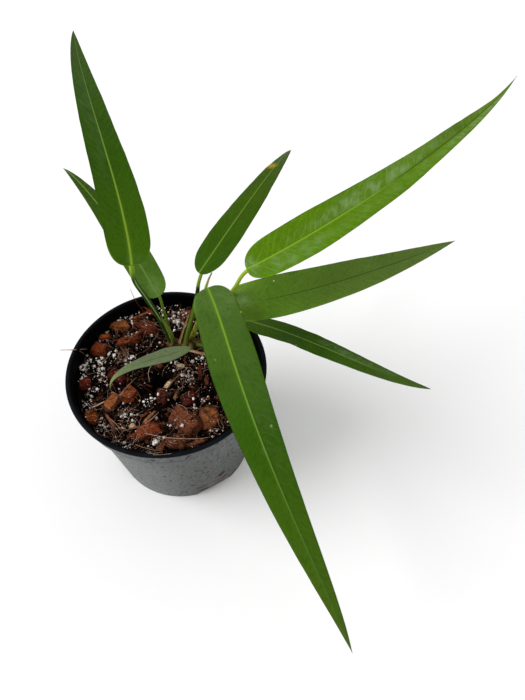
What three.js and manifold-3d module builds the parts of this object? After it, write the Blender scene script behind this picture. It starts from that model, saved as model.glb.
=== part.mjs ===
// A potted strap-leaved anthurium: a 12 cm nursery pot, its open potting mix of peat, coconut husk and
// perlite, and the plant itself: a short creeping rhizome with its roots, eight stalked leaves, two sheaths
// and a new shoot.
// Millimetres, +Z up, the origin at the centre of the pot's flat base. The pot is seen from the -Y side.
import * as THREE from 'three';
import { mergeVertices } from 'three/addons/utils/BufferGeometryUtils.js';
import Module from 'manifold-3d';

const wasm = await Module();
wasm.setup();

// Pot. Its rim stands a little askew of its base.
const potHeight = 88;
const rimLean = -2.7;
const rimRadius = 59.8;
const rimDepth = 1.9;
const rimWidth = 2.9;
const collarRadius = 57.9;
const collarFootRadius = 57.3;
const collarDepth = 13;
const collarStep = 1.2;
const wallTopRadius = 54.4;
const baseRadius = 45.8;
const wallThickness = 1.2;
const floorThickness = 1.6;
const cornerRound = 1;
const floorRound = 1.4;
const lipRound = 0.7;
const roundSegments = 48;
const drainHoleRadius = 3.5;
const drainHoleRing = 27;
const drainHoleCount = 6;
const cornerSlotHalfWidth = 12.5;
const cornerSlotHeight = 5.5;
const cornerSlotDepth = 8;
const cornerSlotCount = 4;
const cornerSlotBearing = -59;
const cutterSides = { hole: 16, slot: 18 };

// Potting mix: its level at the pot's middle, and how it rises to the back and to the right
const mixLevel = 77.6;
const mixRise = { x: 0.02, y: 0.035 };
const mixRings = 9;
const mixRoughness = 1.1;
const mixWaves = { shift: 1, broad: [0.21, 0.17], fineShare: 0.6, fine: [0.43, 0.38] };
const mixEdgeBand = 1;
const mixSeed = 23;
const hollowPlace = [-7.8, -3.2];
const hollowRadius = 8;
const hollowDepth = 7;
const perliteCount = 84;
const perliteSizes = [1.5, 2.1];
const perliteSink = 0.3;
const perliteEdge = 4;
const perliteTurn = 3;
const goldenAngle = 137.5;
const crownClearance = 9;
const seatGap = 0.3;

// Husk chips that show most: place on the mix, length, width, height, turn about the upright, all real sizes
const chips = [
  { x: -40.3, y: 40.5, length: 16, width: 9, height: 6, turn: 8 },
  { x: -48.1, y: 17.7, length: 9, width: 9, height: 7, turn: 70 },
  { x: -24.9, y: -13.7, length: 12, width: 9, height: 7, turn: 55 },
  { x: -34.5, y: -19.5, length: 16, width: 6, height: 5, turn: 63 },
  { x: -44.6, y: -30.1, length: 8, width: 8, height: 6, turn: 0 },
  { x: -11.6, y: -37.3, length: 19, width: 9, height: 7, turn: 22 },
  { x: 9.5, y: -30.7, length: 21, width: 13, height: 7, turn: -38 },
  { x: 24.5, y: -28.9, length: 11, width: 14, height: 6, turn: 12 },
  { x: 11.6, y: -17.1, length: 9, width: 9, height: 7, turn: 30 },
  { x: -5.4, y: -14.9, length: 9, width: 7, height: 6, turn: 80 },
  { x: -52.4, y: -6.6, length: 7, width: 8, height: 5, turn: 20 },
  { x: -21.9, y: 37.6, length: 17, width: 8, height: 5, turn: -30 },
  { x: -32, y: 26.2, length: 18, width: 6, height: 4, turn: 12 },
  { x: -33.3, y: -1, length: 11, width: 8, height: 5, turn: -25 },
  { x: 5.4, y: -45.3, length: 13, width: 8, height: 6, turn: -5 },
  { x: 33.5, y: -13.5, length: 11, width: 8, height: 6, turn: 70 },
  { x: 41.4, y: 5.8, length: 10, width: 9, height: 6, turn: 15 },
  { x: 37.5, y: 27.1, length: 12, width: 8, height: 6, turn: -50 },
  { x: 5.9, y: 44.9, length: 12, width: 7, height: 5, turn: 5 },
];
const chipKnock = 0.4;
const chipTip = 0.3;
const chipSink = 0.12;
const chipClearance = { share: 0.45, gap: 1 };

// Rhizome: a short creeping stem, half out of the mix
const rhizomeRoute = [[-8.1, 24.4, 76.3], [-1.2, 23.8, 78], [6.8, 22.2, 78.6], [14.7, 23.1, 78.8],
  [21.7, 24, 78.4], [26.6, 23.4, 76.5]];
const rhizomeRadius = 4.8;
const rhizomeEnds = { share: 0.04, roundness: 0.4 };
const rhizomeSides = 10;
const rhizomeSteps = 16;
const ringRelief = 0.35;
const ringsOnRhizome = 40;
const rootRadius = 1.3;
const rootCount = 6;
const rootSpread = 27;
const rootDepths = [38, 56];
const rootStarts = [0.12, 0.88];
const rootKnee = { out: 0.45, down: 0.25 };
const rootLow = { out: 0.9, down: 0.65 };
const rootWander = 4;
const rootBearingWander = 30;
const rootNarrowing = 0.5;
const rootSides = 5;
const rootSteps = 6;
const rootSeed = 7;
const surfaceRootRoute = [[7.4, 21, 78.5], [8.6, 17.7, 80.6], [13.6, 15.7, 81], [18.4, 14.5, 80.7],
  [24.1, 14, 78.5], [28.8, 15.6, 72]];
const surfaceRootRadii = [1, 0.75];
const surfaceRootSides = 6;
const surfaceRootSteps = 9;

// Leaves. Angles in degrees: heading about the upright from +X, pitch above the level, roll about the
// midrib. swing, droop and twist are the change of each from base to tip, bend is added near the base,
// sweep and hook near the tip. base is where the blade begins, stalk the points that the petiole passes
// on its way from the rhizome.
// A ripple lifts one margin: place along the blade, side, reach along it, height.
const leaves = [
  {
    base: [-14.3, 14.5, 158.4], heading: 112.1, bend: -16.3, swing: 0, sweep: -9.3,
    pitch: 49.1, droop: 42.8, hook: -3, roll: 32.2, twist: -2.7, length: 138.3, width: 26.8, fold: 4.7,
    belly: 0.19, taper: 0.84, ease: 1.37, round: 0.1, blunt: 2.57, rib: 0.3, stalkRadii: [1.95, 1.25],
    ripples: [[0.32, 1, 0.09, 0.5], [0.5, -1, 0.1, -0.5]],
    stalk: [[-3.4, 24.3, 78.5], [-5.3, 24.2, 92], [-8.3, 23.4, 106.4], [-12.9, 20.4, 129],
      [-15.4, 17.1, 145]],
  },
  {
    base: [-7, 27.4, 119.5], heading: 129.4, bend: -1.6, swing: 0.9, sweep: -3.8,
    pitch: 40.5, droop: 45.8, hook: 14.1, roll: 6, twist: -0.1, length: 112.3, width: 19.1, fold: 10,
    belly: 0.22, taper: 0.98, ease: 1.17, round: 0.09, blunt: 2.45, rib: 0.3, stalkRadii: [1.05, 0.75],
    ripples: [[0.6, 1, 0.1, 0.4]],
    stalk: [[-4.4, 27.9, 78], [-4.5, 29.2, 90], [-5.9, 29.5, 105], [-6.3, 28.5, 117]],
  },
  {
    base: [18.3, 29.9, 137.1], heading: 55.3, bend: -2.7, swing: 17.2, sweep: 7.3,
    pitch: 26.2, droop: 46.7, hook: 11.8, roll: -15.2, twist: -1.2, length: 131.3, width: 23.4, fold: 2.6,
    belly: 0.19, taper: 1.06, ease: 1.29, round: 0.1, blunt: 2.06, rib: 0.3, stalkRadii: [2.1, 0.85],
    ripples: [[0.66, 1, 0.07, 0.5], [0.4, -1, 0.1, -0.4]],
    stalk: [[4.9, 20.4, 79.5], [8.1, 24.5, 92], [12.4, 28.3, 105], [15.8, 28.6, 121], [17.3, 29.1, 130]],
  },
  {
    base: [45.6, 9.6, 162.2], heading: 19.3, bend: -5.7, swing: 36.6, sweep: 5.4,
    pitch: 25.1, droop: 25.7, hook: 7.4, roll: 20.1, twist: -16.6, length: 205.5, width: 23.1, fold: 11.2,
    belly: 0.18, taper: 1.34, ease: 1.28, round: 0.08, blunt: 2.51, rib: -0.2, stalkRadii: [1.45, 0.95],
    ripples: [[0.43, -1, 0.06, -1.2], [0.6, -1, 0.08, 0.7], [0.64, 1, 0.08, 1.2],
      [0.84, 1, 0.07, -1.2]],
    stalk: [[23.1, 26.5, 78.5], [27, 25.7, 98], [29.8, 23, 114], [33, 20, 126], [39, 16.6, 141],
      [43.2, 15.2, 152]],
  },
  {
    base: [36.5, 13, 129.1], heading: -0.9, bend: -4.7, swing: 39.5, sweep: -3.6,
    pitch: 19.2, droop: 25.6, hook: 3.8, roll: 12.2, twist: -0.8, length: 139.5, width: 26.6, fold: 10.7,
    belly: 0.2, taper: 1, ease: 1.42, round: 0.04, blunt: 2.67, rib: -0.1, stalkRadii: [1.6, 1.1],
    ripples: [[0.5, 1, 0.1, 0.5], [0.55, -1, 0.1, -0.5]],
    stalk: [[17, 25.5, 78], [19.5, 25.5, 86], [25.9, 22.8, 99], [33, 17.4, 117]],
  },
  {
    base: [45.1, 23, 103.5], heading: -32.9, bend: 2.1, swing: 4.9, sweep: 16.1,
    pitch: 18.1, droop: 32.4, hook: -10.3, roll: -15.2, twist: 8.7, length: 114.4, width: 17.7, fold: 1.6,
    belly: 0.23, taper: 0.79, ease: 1.42, round: 0.08, blunt: 2.58, rib: 0.3, stalkRadii: [1.35, 0.95],
    ripples: [[0.12, -1, 0.05, -0.8], [0.3, -1, 0.07, 0.8]],
    stalk: [[13.5, 22.2, 78.5], [14.5, 19.4, 84], [19, 16.5, 87.5], [26, 17, 94.5], [35.8, 20, 101]],
  },
  {
    base: [24.4, 13.7, 142.9], heading: -83.9, bend: 14.9, swing: 35.5, sweep: -4.9,
    pitch: 10, droop: 52.4, hook: 18.4, roll: 8, twist: 30.4, length: 206, width: 25.1, fold: 12.1,
    belly: 0.27, taper: 1.02, ease: 1.31, round: 0.09, blunt: 2.27, rib: 0.35, stalkRadii: [2, 1.3],
    ripples: [[0.35, 1, 0.08, 0.6], [0.5, -1, 0.08, -0.6]],
    stalk: [[20.5, 21.5, 78], [21, 20.3, 87], [22.3, 20.8, 102], [23.7, 17.5, 124], [23.5, 15, 136]],
  },
  {
    base: [11.2, 10.4, 93], heading: 212.7, bend: 1.4, swing: -29.6, sweep: 35.1,
    pitch: 9.8, droop: 19.2, hook: 89, roll: 8.9, twist: -8.9, length: 61.6, width: 11.7, fold: 7.7,
    belly: 0.25, taper: 1.11, ease: 1.13, round: 0.25, blunt: 1.82, rib: -0.1, stalkRadii: [1.1, 0.85],
    ripples: [[0.5, 1, 0.12, 0.3]],
    stalk: [[9.8, 22.2, 79], [10.4, 17.2, 84.2], [10.9, 13.6, 88]],
  },
];
const bladeThickness = 0.8;
const ribHalfWidth = 0.7;
const ribBelow = 0.6;
const ribRowShare = 0.3;
const shoulderShare = 0.68;
const tipHalf = 0.35;
const rowSpacing = 9;
const baseRowShares = [0.004, 0.05, 0.16, 0.36, 0.65];
const lastRow = 0.996;
const rippleShape = 1.5;
const ribFadeRate = 2;
const waistShare = 0.86;
const stalkInset = 3.5;
const stalkSides = 8;
const stalkStep = 6;
const leastStalkSteps = 9;
const stalkTaper = 1.3;
const neckSwell = 0.08;
const neckPlace = 0.9;
const neckReach = 0.07;
const endNarrow = 0.45;
const endReach = 0.04;

// Papery sheaths wrapped round two of the stalks, and the new shoot in its own sheath
const sheaths = [
  { leaf: 0, from: 0.03, to: 0.42, facing: [0.9, -0.4, 0], spread: 38, flare: 0.4, colour: 0x8a9a3c },
  { leaf: 2, from: 0.05, to: 0.4, facing: [-1, -0.1, 0], spread: 40, flare: 1.1, colour: 0x8d6a3f },
];
const sheathThickness = 0.7;
const sheathRows = 7;
const sheathTipShare = 0.12;
const shootRoute = [[9, 27.5, 78.5], [11, 28.5, 85], [13.5, 29.5, 92], [17.2, 30, 103], [19.9, 32, 119],
  [22.3, 32.6, 128], [24.9, 32.5, 135]];
const shootRadius = 2;
const shootTipRadius = 0.35;
const shootTaper = 0.8;
const shootSides = 7;
const shootSteps = 10;

const degree = Math.PI / 180;

// A small seeded generator, so that each run places the same grains and roots
function seededRandom(seed) {
  let state = seed;
  return () => {
    state = (state + 0x6d2b79f5) | 0;
    let mixed = Math.imul(state ^ (state >>> 15), 1 | state);
    mixed = (mixed + Math.imul(mixed ^ (mixed >>> 7), 61 | mixed)) ^ mixed;
    return ((mixed ^ (mixed >>> 14)) >>> 0) / 4294967296;
  };
}

function geometryFrom(points, triangles) {
  const geometry = new THREE.BufferGeometry();
  const places = points.flatMap((p) => [p.x, p.y, p.z]);
  geometry.setAttribute('position', new THREE.Float32BufferAttribute(places, 3));
  geometry.setIndex(triangles.flat());
  geometry.computeVertexNormals();
  return geometry;
}

function solidOf(geometry) {
  const bare = geometry.clone();
  bare.deleteAttribute('normal');
  bare.deleteAttribute('uv');
  const merged = mergeVertices(bare, 1e-4);
  const vertProperties = new Float32Array(merged.attributes.position.array);
  const kept = [];
  const index = merged.index.array;
  for (let i = 0; i < index.length; i += 3) {
    const [a, b, c] = [index[i], index[i + 1], index[i + 2]];
    if (a !== b && b !== c && c !== a) kept.push(a, b, c);
  }
  return new wasm.Manifold(new wasm.Mesh({ numProp: 3, vertProperties, triVerts: new Uint32Array(kept) }));
}

// The largest body of a cut or joined solid, back as a geometry
function geometryOf(solid) {
  const bodies = solid.decompose();
  const largest = bodies.reduce((best, body) => (body.volume() > best.volume() ? body : best));
  const mesh = largest.getMesh();
  const geometry = new THREE.BufferGeometry();
  geometry.setAttribute('position', new THREE.BufferAttribute(new Float32Array(mesh.vertProperties), 3));
  geometry.setIndex(new THREE.BufferAttribute(new Uint32Array(mesh.triVerts), 1));
  geometry.computeVertexNormals();
  return geometry;
}

function vector(list) {
  return new THREE.Vector3(...list);
}

// A closed sheet between two grids of points, split into triangles alike on both faces
function sheetGeometry(top, bottom) {
  const rows = top.length - 1;
  const columns = top[0].length - 1;
  const faceSize = top.length * top[0].length;
  const points = [...top.flat(), ...bottom.flat()];
  const at = (row, column) => row * (columns + 1) + column;
  const triangles = [];
  for (let row = 0; row < rows; row += 1) {
    for (let column = 0; column < columns; column += 1) {
      const [a, b] = [at(row, column), at(row + 1, column)];
      const [c, d] = [at(row + 1, column + 1), at(row, column + 1)];
      triangles.push([a, b, c], [a, c, d]);
      triangles.push([a + faceSize, c + faceSize, b + faceSize], [a + faceSize, d + faceSize, c + faceSize]);
    }
  }
  const wall = (a, b) => triangles.push([a, a + faceSize, b + faceSize], [a, b + faceSize, b]);
  for (let row = 0; row < rows; row += 1) {
    wall(at(row, 0), at(row + 1, 0));
    wall(at(row + 1, columns), at(row, columns));
  }
  for (let column = 0; column < columns; column += 1) {
    wall(at(0, column + 1), at(0, column));
    wall(at(rows, column), at(rows, column + 1));
  }
  return geometryFrom(points, triangles);
}

function curveThrough(route) {
  return new THREE.CatmullRomCurve3(route.map(vector), false, 'catmullrom', 0.5);
}

// Place, direction and two cross directions at a share u of a curve. The first cross direction faces a
// given way.
function ringFrame(curve, u, facing) {
  const centre = curve.getPoint(u);
  const along = curve.getTangent(u);
  const out = facing.clone().addScaledVector(along, -facing.dot(along)).normalize();
  const across = along.clone().cross(out);
  return { centre, along, out, across };
}

// A closed round tube along a curve with a radius that changes on the way
function tubeGeometry(curve, radiusAt, sides, steps, facing = new THREE.Vector3(0, -1, 0)) {
  const points = [];
  const triangles = [];
  for (let step = 0; step <= steps; step += 1) {
    const u = step / steps;
    const { centre, out, across } = ringFrame(curve, u, facing);
    for (let side = 0; side < sides; side += 1) {
      const angle = (side / sides) * 2 * Math.PI;
      points.push(centre.clone()
        .addScaledVector(out, radiusAt(u) * Math.cos(angle))
        .addScaledVector(across, radiusAt(u) * Math.sin(angle)));
    }
  }
  const at = (step, side) => step * sides + (side % sides);
  for (let step = 0; step < steps; step += 1) {
    for (let side = 0; side < sides; side += 1) {
      triangles.push([at(step, side), at(step, side + 1), at(step + 1, side + 1)]);
      triangles.push([at(step, side), at(step + 1, side + 1), at(step + 1, side)]);
    }
  }
  for (let side = 1; side < sides - 1; side += 1) {
    triangles.push([at(0, 0), at(0, side + 1), at(0, side)]);
    triangles.push([at(steps, 0), at(steps, side), at(steps, side + 1)]);
  }
  return geometryFrom(points, triangles);
}

// Half width of a blade as a share of its greatest: a blunt round base, a belly and a long taper
function widthShare(leaf, s) {
  const blunt = s < leaf.round ? (1 - (1 - s / leaf.round) ** leaf.blunt) ** (1 / leaf.blunt) : 1;
  const rise = waistShare + (1 - waistShare) * Math.sin((Math.PI / 2) * Math.min(s / leaf.belly, 1));
  const run = Math.max(s - leaf.belly, 0) / (1 - leaf.belly);
  return blunt * rise * (1 - run ** leaf.ease) ** leaf.taper;
}

function bladeDirection(leaf, s) {
  const heading = (leaf.heading + leaf.bend * (1 - s) ** 6 + leaf.swing * s + leaf.sweep * s ** 4) * degree;
  const pitch = (leaf.pitch - leaf.droop * s - leaf.hook * s ** 4) * degree;
  const along = new THREE.Vector3(
    Math.cos(pitch) * Math.cos(heading),
    Math.cos(pitch) * Math.sin(heading),
    Math.sin(pitch),
  );
  const level = new THREE.Vector3(-Math.sin(heading), Math.cos(heading), 0);
  return { along, level };
}

// The midrib's place at a share s of the blade, found by small steps from the base, with its cross directions
function bladeFrame(leaf, s) {
  const stepLength = 0.01;
  const place = vector(leaf.base);
  const steps = Math.ceil(s / stepLength);
  for (let step = 0; step < steps; step += 1) {
    const middle = (step + 0.5) * (s / steps);
    place.addScaledVector(bladeDirection(leaf, middle).along, (s / steps) * leaf.length);
  }
  const { along, level } = bladeDirection(leaf, s);
  const upright = along.clone().cross(level);
  const roll = (leaf.roll + leaf.twist * s) * degree;
  const side = level.clone().multiplyScalar(Math.cos(roll)).addScaledVector(upright, Math.sin(roll));
  const up = along.clone().cross(side);
  return { place, along, side, up };
}

// How far the ripples lift a margin at a place along the blade
function rippleLift(leaf, s, side) {
  return leaf.ripples.reduce((lift, [at, rippleSide, reach, rise]) => (
    rippleSide === side ? lift + rise * Math.exp(-(((s - at) / reach) ** 2)) : lift), 0);
}

// One point of a blade's upper or lower face. t runs across from -1 to 1.
function bladePoint(leaf, frame, s, t, half, lift) {
  const fold = leaf.fold * degree;
  const ripple = rippleLift(leaf, s, Math.sign(t)) * Math.abs(t) ** rippleShape;
  return frame.place.clone()
    .addScaledVector(frame.side, half * t * Math.cos(fold))
    .addScaledVector(frame.up, half * Math.abs(t) * Math.sin(fold) + ripple + lift);
}

// Rows of a blade: close together round its blunt base, then evenly spaced to the tip
function bladeStations(leaf) {
  const stations = baseRowShares.map((share) => share * leaf.round);
  const evenRows = Math.round(leaf.length / rowSpacing);
  const rowStep = (lastRow - leaf.round) / evenRows;
  for (let row = 0; row <= evenRows; row += 1) stations.push(leaf.round + rowStep * row);
  return stations;
}

function bladeGeometry(leaf, grow = 0) {
  const top = [];
  const bottom = [];
  for (const s of bladeStations(leaf)) {
    const frame = bladeFrame(leaf, s);
    const half = Math.max((leaf.width / 2) * widthShare(leaf, s), tipHalf) + grow;
    const ribShare = Math.min(ribHalfWidth / half, ribRowShare);
    const ribFade = Math.min((1 - s) * ribFadeRate, 1);
    const shares = [-1, -shoulderShare, -ribShare, 0, ribShare, shoulderShare, 1];
    const thick = bladeThickness / 2 + grow;
    const ribOver = leaf.rib * ribFade;
    const ribUnder = ribBelow * ribFade;
    top.push(shares.map((t) => bladePoint(leaf, frame, s, t, half, thick + (t === 0 ? ribOver : 0))));
    bottom.push(shares.map((t) => bladePoint(leaf, frame, s, t, half, -thick - (t === 0 ? ribUnder : 0))));
  }
  return sheetGeometry(top, bottom);
}

function stalkCurve(leaf) {
  const frame = bladeFrame(leaf, stalkInset / leaf.length);
  return curveThrough([...leaf.stalk, frame.place.toArray()]);
}

// A stalk is stoutest at its foot and a little swollen at its neck, and narrows where it enters the blade
function stalkRadius(leaf, u) {
  const [foot, neck] = leaf.stalkRadii;
  const swell = neckSwell * Math.exp(-(((u - neckPlace) / neckReach) ** 2));
  const end = Math.max((u - 1 + endReach) / endReach, 0) * endNarrow;
  return (neck + (foot - neck) * (1 - u) ** stalkTaper) * (1 + swell - end);
}

function stalkGeometry(leaf, grow = 0) {
  const curve = stalkCurve(leaf);
  const steps = Math.max(leastStalkSteps, Math.round(curve.getLength() / stalkStep));
  return tubeGeometry(curve, (u) => stalkRadius(leaf, u) + grow, stalkSides, steps);
}

// The rhizome's girth rises and falls with the rings that old leaves left
function rhizomeGeometry(grow = 0) {
  const { share, roundness } = rhizomeEnds;
  const ends = (u) => Math.sin(Math.PI * Math.min(Math.max(u, share), 1 - share)) ** roundness;
  const girth = (u) => (rhizomeRadius + ringRelief * Math.cos(u * ringsOnRhizome)) * ends(u) + grow;
  const facing = new THREE.Vector3(0, 0, 1);
  return tubeGeometry(curveThrough(rhizomeRoute), girth, rhizomeSides, rhizomeSteps, facing);
}

// The hidden roots leave the rhizome all along, spread out level, and then go down
function rootGeometries(grow = 0) {
  const random = seededRandom(rootSeed);
  const rhizome = curveThrough(rhizomeRoute);
  const roots = [];
  for (let i = 0; i < rootCount; i += 1) {
    const startShare = rootStarts[0] + ((rootStarts[1] - rootStarts[0]) * i) / (rootCount - 1);
    const start = rhizome.getPoint(startShare);
    const bearing = ((360 * i) / rootCount + rootBearingWander * random()) * degree;
    const depth = rootDepths[0] + (rootDepths[1] - rootDepths[0]) * random();
    const aim = new THREE.Vector3(rootSpread * Math.cos(bearing), rootSpread * Math.sin(bearing), start.z);
    const knee = start.clone().lerp(aim, rootKnee.out).setZ(start.z - depth * rootKnee.down);
    const low = start.clone().lerp(aim, rootLow.out).setZ(start.z - depth * rootLow.down);
    const end = low.clone().setZ(start.z - depth);
    end.x += rootWander * (random() - 0.5);
    end.y += rootWander * (random() - 0.5);
    const route = [start, knee, low, end].map((p) => p.toArray());
    const radiusAt = (u) => rootRadius * (1 - rootNarrowing * u) + grow;
    roots.push(tubeGeometry(curveThrough(route), radiusAt, rootSides, rootSteps));
  }
  const [thick, thin] = surfaceRootRadii;
  const surfaceRadius = (u) => thick + (thin - thick) * u + grow;
  const surfaceCurve = curveThrough(surfaceRootRoute);
  roots.push(tubeGeometry(surfaceCurve, surfaceRadius, surfaceRootSides, surfaceRootSteps));
  return roots;
}

function sheathGeometry(sheath, grow = 0) {
  const leaf = leaves[sheath.leaf];
  const curve = stalkCurve(leaf);
  const facing = vector(sheath.facing);
  const outer = [];
  const inner = [];
  for (let row = 0; row <= sheathRows; row += 1) {
    const share = row / sheathRows;
    const u = sheath.from + (sheath.to - sheath.from) * share;
    const { centre, out, across } = ringFrame(curve, u, facing);
    const spread = sheath.spread * degree * Math.max(1 - share ** 3, sheathTipShare);
    const clear = stalkRadius(leaf, u) + seatGap + sheath.flare * (1 - share) ** 2;
    const place = (angle, radius) => centre.clone()
      .addScaledVector(out, radius * Math.cos(angle))
      .addScaledVector(across, radius * Math.sin(angle));
    const angles = [-1, -0.5, 0, 0.5, 1].map((t) => t * spread);
    outer.push(angles.map((angle) => place(angle, clear + sheathThickness + grow)));
    inner.push(angles.map((angle) => place(angle, clear - grow)));
  }
  return sheetGeometry(inner, outer);
}

function shootGeometry(grow = 0) {
  const girth = (u) => shootTipRadius + (shootRadius - shootTipRadius) * (1 - u) ** shootTaper + grow;
  return tubeGeometry(curveThrough(shootRoute), girth, shootSides, shootSteps);
}

// Radius of the pot's inside at a height: the wall, a small step out, and the collar
function innerRadius(z) {
  const wallTop = potHeight - collarDepth;
  const wallShare = Math.min(z / wallTop, 1);
  const stepShare = Math.min(Math.max((z - wallTop) / collarStep, 0), 1);
  const wall = baseRadius + (wallTopRadius - baseRadius) * wallShare - wallThickness;
  return wall + (collarFootRadius - wallTopRadius) * stepShare;
}

// The room inside the pot, up to a level
function roomProfile(level) {
  const low = floorThickness + seatGap;
  const bend = low + floorRound;
  const wallTop = potHeight - collarDepth;
  const ledge = wallTop + collarStep;
  return [[0, low], [innerRadius(low) - floorRound - seatGap, low], [innerRadius(bend) - seatGap, bend],
    [innerRadius(wallTop) - seatGap, wallTop + seatGap], [innerRadius(ledge) - seatGap, ledge + seatGap],
    [innerRadius(level) - seatGap, level]];
}

// Turned about the upright, then leant so that the rim stands beside the base
function turned(profile) {
  const lathe = new THREE.LatheGeometry(profile.map(([r, z]) => new THREE.Vector2(r, z)), roundSegments);
  lathe.rotateX(Math.PI / 2);
  return leant(lathe);
}

function leanAt(z) {
  return (rimLean * z) / potHeight;
}

function leant(geometry) {
  const places = geometry.attributes.position;
  for (let i = 0; i < places.count; i += 1) places.setX(i, places.getX(i) + leanAt(places.getZ(i)));
  return geometry;
}

function potProfile() {
  const lipLow = potHeight - rimDepth;
  const collarLow = potHeight - collarDepth;
  const innerTop = collarFootRadius - wallThickness;
  return [
    [0, 0],
    [baseRadius - cornerRound, 0],
    [baseRadius, cornerRound],
    [wallTopRadius, collarLow - collarStep],
    [collarFootRadius, collarLow],
    [collarRadius, lipLow],
    [rimRadius - lipRound, lipLow],
    [rimRadius, lipLow + lipRound],
    [rimRadius, potHeight - lipRound],
    [rimRadius - lipRound, potHeight],
    [rimRadius - rimWidth + lipRound, potHeight],
    [rimRadius - rimWidth, potHeight - lipRound],
    [innerTop + wallThickness / 4, lipLow],
    [innerTop, collarLow + collarStep],
    [innerRadius(collarLow), collarLow],
    [innerRadius(floorThickness + floorRound), floorThickness + floorRound],
    [innerRadius(floorThickness) - floorRound, floorThickness],
    [0, floorThickness],
  ];
}

function potGeometry() {
  let pot = solidOf(turned(potProfile()));
  for (let i = 0; i < drainHoleCount; i += 1) {
    const angle = (i / drainHoleCount) * 2 * Math.PI;
    const holeDepth = 3 * floorThickness;
    const hole = new THREE.CylinderGeometry(drainHoleRadius, drainHoleRadius, holeDepth, cutterSides.hole);
    hole.rotateX(Math.PI / 2);
    hole.translate(drainHoleRing * Math.cos(angle), drainHoleRing * Math.sin(angle), floorThickness / 2);
    pot = pot.subtract(solidOf(hole));
  }
  for (let i = 0; i < cornerSlotCount; i += 1) {
    const angle = (cornerSlotBearing + (360 * i) / cornerSlotCount) * degree;
    const slot = new THREE.CylinderGeometry(1, 1, cornerSlotDepth, cutterSides.slot);
    slot.rotateZ(Math.PI / 2);
    slot.scale(1, cornerSlotHalfWidth, cornerSlotHeight);
    slot.translate(baseRadius, 0, 0);
    slot.rotateZ(angle);
    pot = pot.subtract(solidOf(slot));
  }
  return geometryOf(pot);
}

// The mix's level at a place: higher at the back, gently lumpy, with a hollow in front of the crown
function mixHeight(x, y) {
  const { shift, broad, fineShare, fine } = mixWaves;
  const lumps = Math.sin(x * broad[0] + shift) * Math.cos(y * broad[1])
    + fineShare * Math.sin(x * fine[0] + y * fine[1]);
  const hollow = Math.exp(-(((x - hollowPlace[0]) ** 2 + (y - hollowPlace[1]) ** 2) / hollowRadius ** 2));
  return mixLevel + mixRise.x * x + mixRise.y * y + mixRoughness * lumps - hollowDepth * hollow;
}

function mixBedGeometry() {
  const edgeRadius = innerRadius(mixLevel) - seatGap;
  const profile = roomProfile(mixLevel);
  const edgeLow = potHeight - collarDepth + collarStep + 2 * seatGap;
  for (let ring = 1; ring <= mixRings; ring += 1) {
    profile.push([edgeRadius * (1 - ring / mixRings), mixLevel]);
  }
  const bed = turned(profile);
  const places = bed.attributes.position;
  for (let i = 0; i < places.count; i += 1) {
    const [x, y, z] = [places.getX(i), places.getY(i), places.getZ(i)];
    if (z < mixLevel - 0.01) continue;
    const onEdge = Math.hypot(x - leanAt(mixLevel), y) > edgeRadius - mixEdgeBand;
    places.setZ(i, onEdge ? Math.max(mixHeight(x, y), edgeLow) : mixHeight(x, y));
  }
  return bed;
}

// A split block of husk: a box with its corners knocked about
function chipGeometry(chip, random) {
  const block = new THREE.BoxGeometry(chip.length, chip.width, chip.height);
  block.deleteAttribute('normal');
  block.deleteAttribute('uv');
  const corners = mergeVertices(block);
  const places = corners.attributes.position;
  for (let i = 0; i < places.count; i += 1) {
    const draw = () => 1 + chipKnock * (random() - 0.5);
    places.setXYZ(i, places.getX(i) * draw(), places.getY(i) * draw(), places.getZ(i) * draw());
  }
  corners.rotateX(chipTip * (random() - 0.5));
  corners.rotateY(chipTip * (random() - 0.5));
  corners.rotateZ(chip.turn * degree);
  corners.translate(chip.x, chip.y, mixHeight(chip.x, chip.y) + chipSink * chip.height);
  return corners;
}

function distanceToCrown(x, y) {
  const rhizome = curveThrough(rhizomeRoute);
  const samples = [0, 0.25, 0.5, 0.75, 1].map((u) => rhizome.getPoint(u));
  return Math.min(...samples.map((p) => Math.hypot(p.x - x, p.y - y)));
}

// Perlite grains lie between the chips, larger than life and evenly strewn
function perliteGeometries(random) {
  const grains = [];
  const spread = innerRadius(mixLevel) - perliteEdge;
  const turn = goldenAngle * degree;
  for (let i = 0; i < perliteCount; i += 1) {
    const r = spread * Math.sqrt((i + 0.5) / perliteCount);
    const [x, y] = [r * Math.cos(i * turn) + leanAt(mixLevel), r * Math.sin(i * turn)];
    const size = perliteSizes[0] + (perliteSizes[1] - perliteSizes[0]) * random();
    const { share, gap } = chipClearance;
    const onChip = chips.some((chip) => Math.hypot(chip.x - x, chip.y - y) < share * chip.length + gap);
    if (onChip || distanceToCrown(x, y) < crownClearance) continue;
    const grain = new THREE.OctahedronGeometry(size, 0);
    grain.rotateX(random() * perliteTurn);
    grain.rotateY(random() * perliteTurn);
    grain.translate(x, y, mixHeight(x, y) + perliteSink * size);
    grains.push(grain);
  }
  return grains;
}

function pottingMixGeometry() {
  const random = seededRandom(mixSeed);
  let mix = solidOf(mixBedGeometry());
  for (const chip of chips) mix = mix.add(solidOf(chipGeometry(chip, random)));
  for (const grain of perliteGeometries(random)) mix = mix.add(solidOf(grain));
  const chipRoom = roomProfile(potHeight - rimDepth);
  mix = mix.intersect(solidOf(turned([...chipRoom, [0, chipRoom.at(-1)[1]]])));
  const planted = [rhizomeGeometry(seatGap), ...rootGeometries(seatGap), shootGeometry(seatGap)];
  for (const leaf of leaves) planted.push(stalkGeometry(leaf, seatGap), bladeGeometry(leaf, seatGap));
  for (const sheath of sheaths) planted.push(sheathGeometry(sheath, seatGap));
  for (const geometry of planted) mix = mix.subtract(solidOf(geometry));
  return geometryOf(mix);
}

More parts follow.
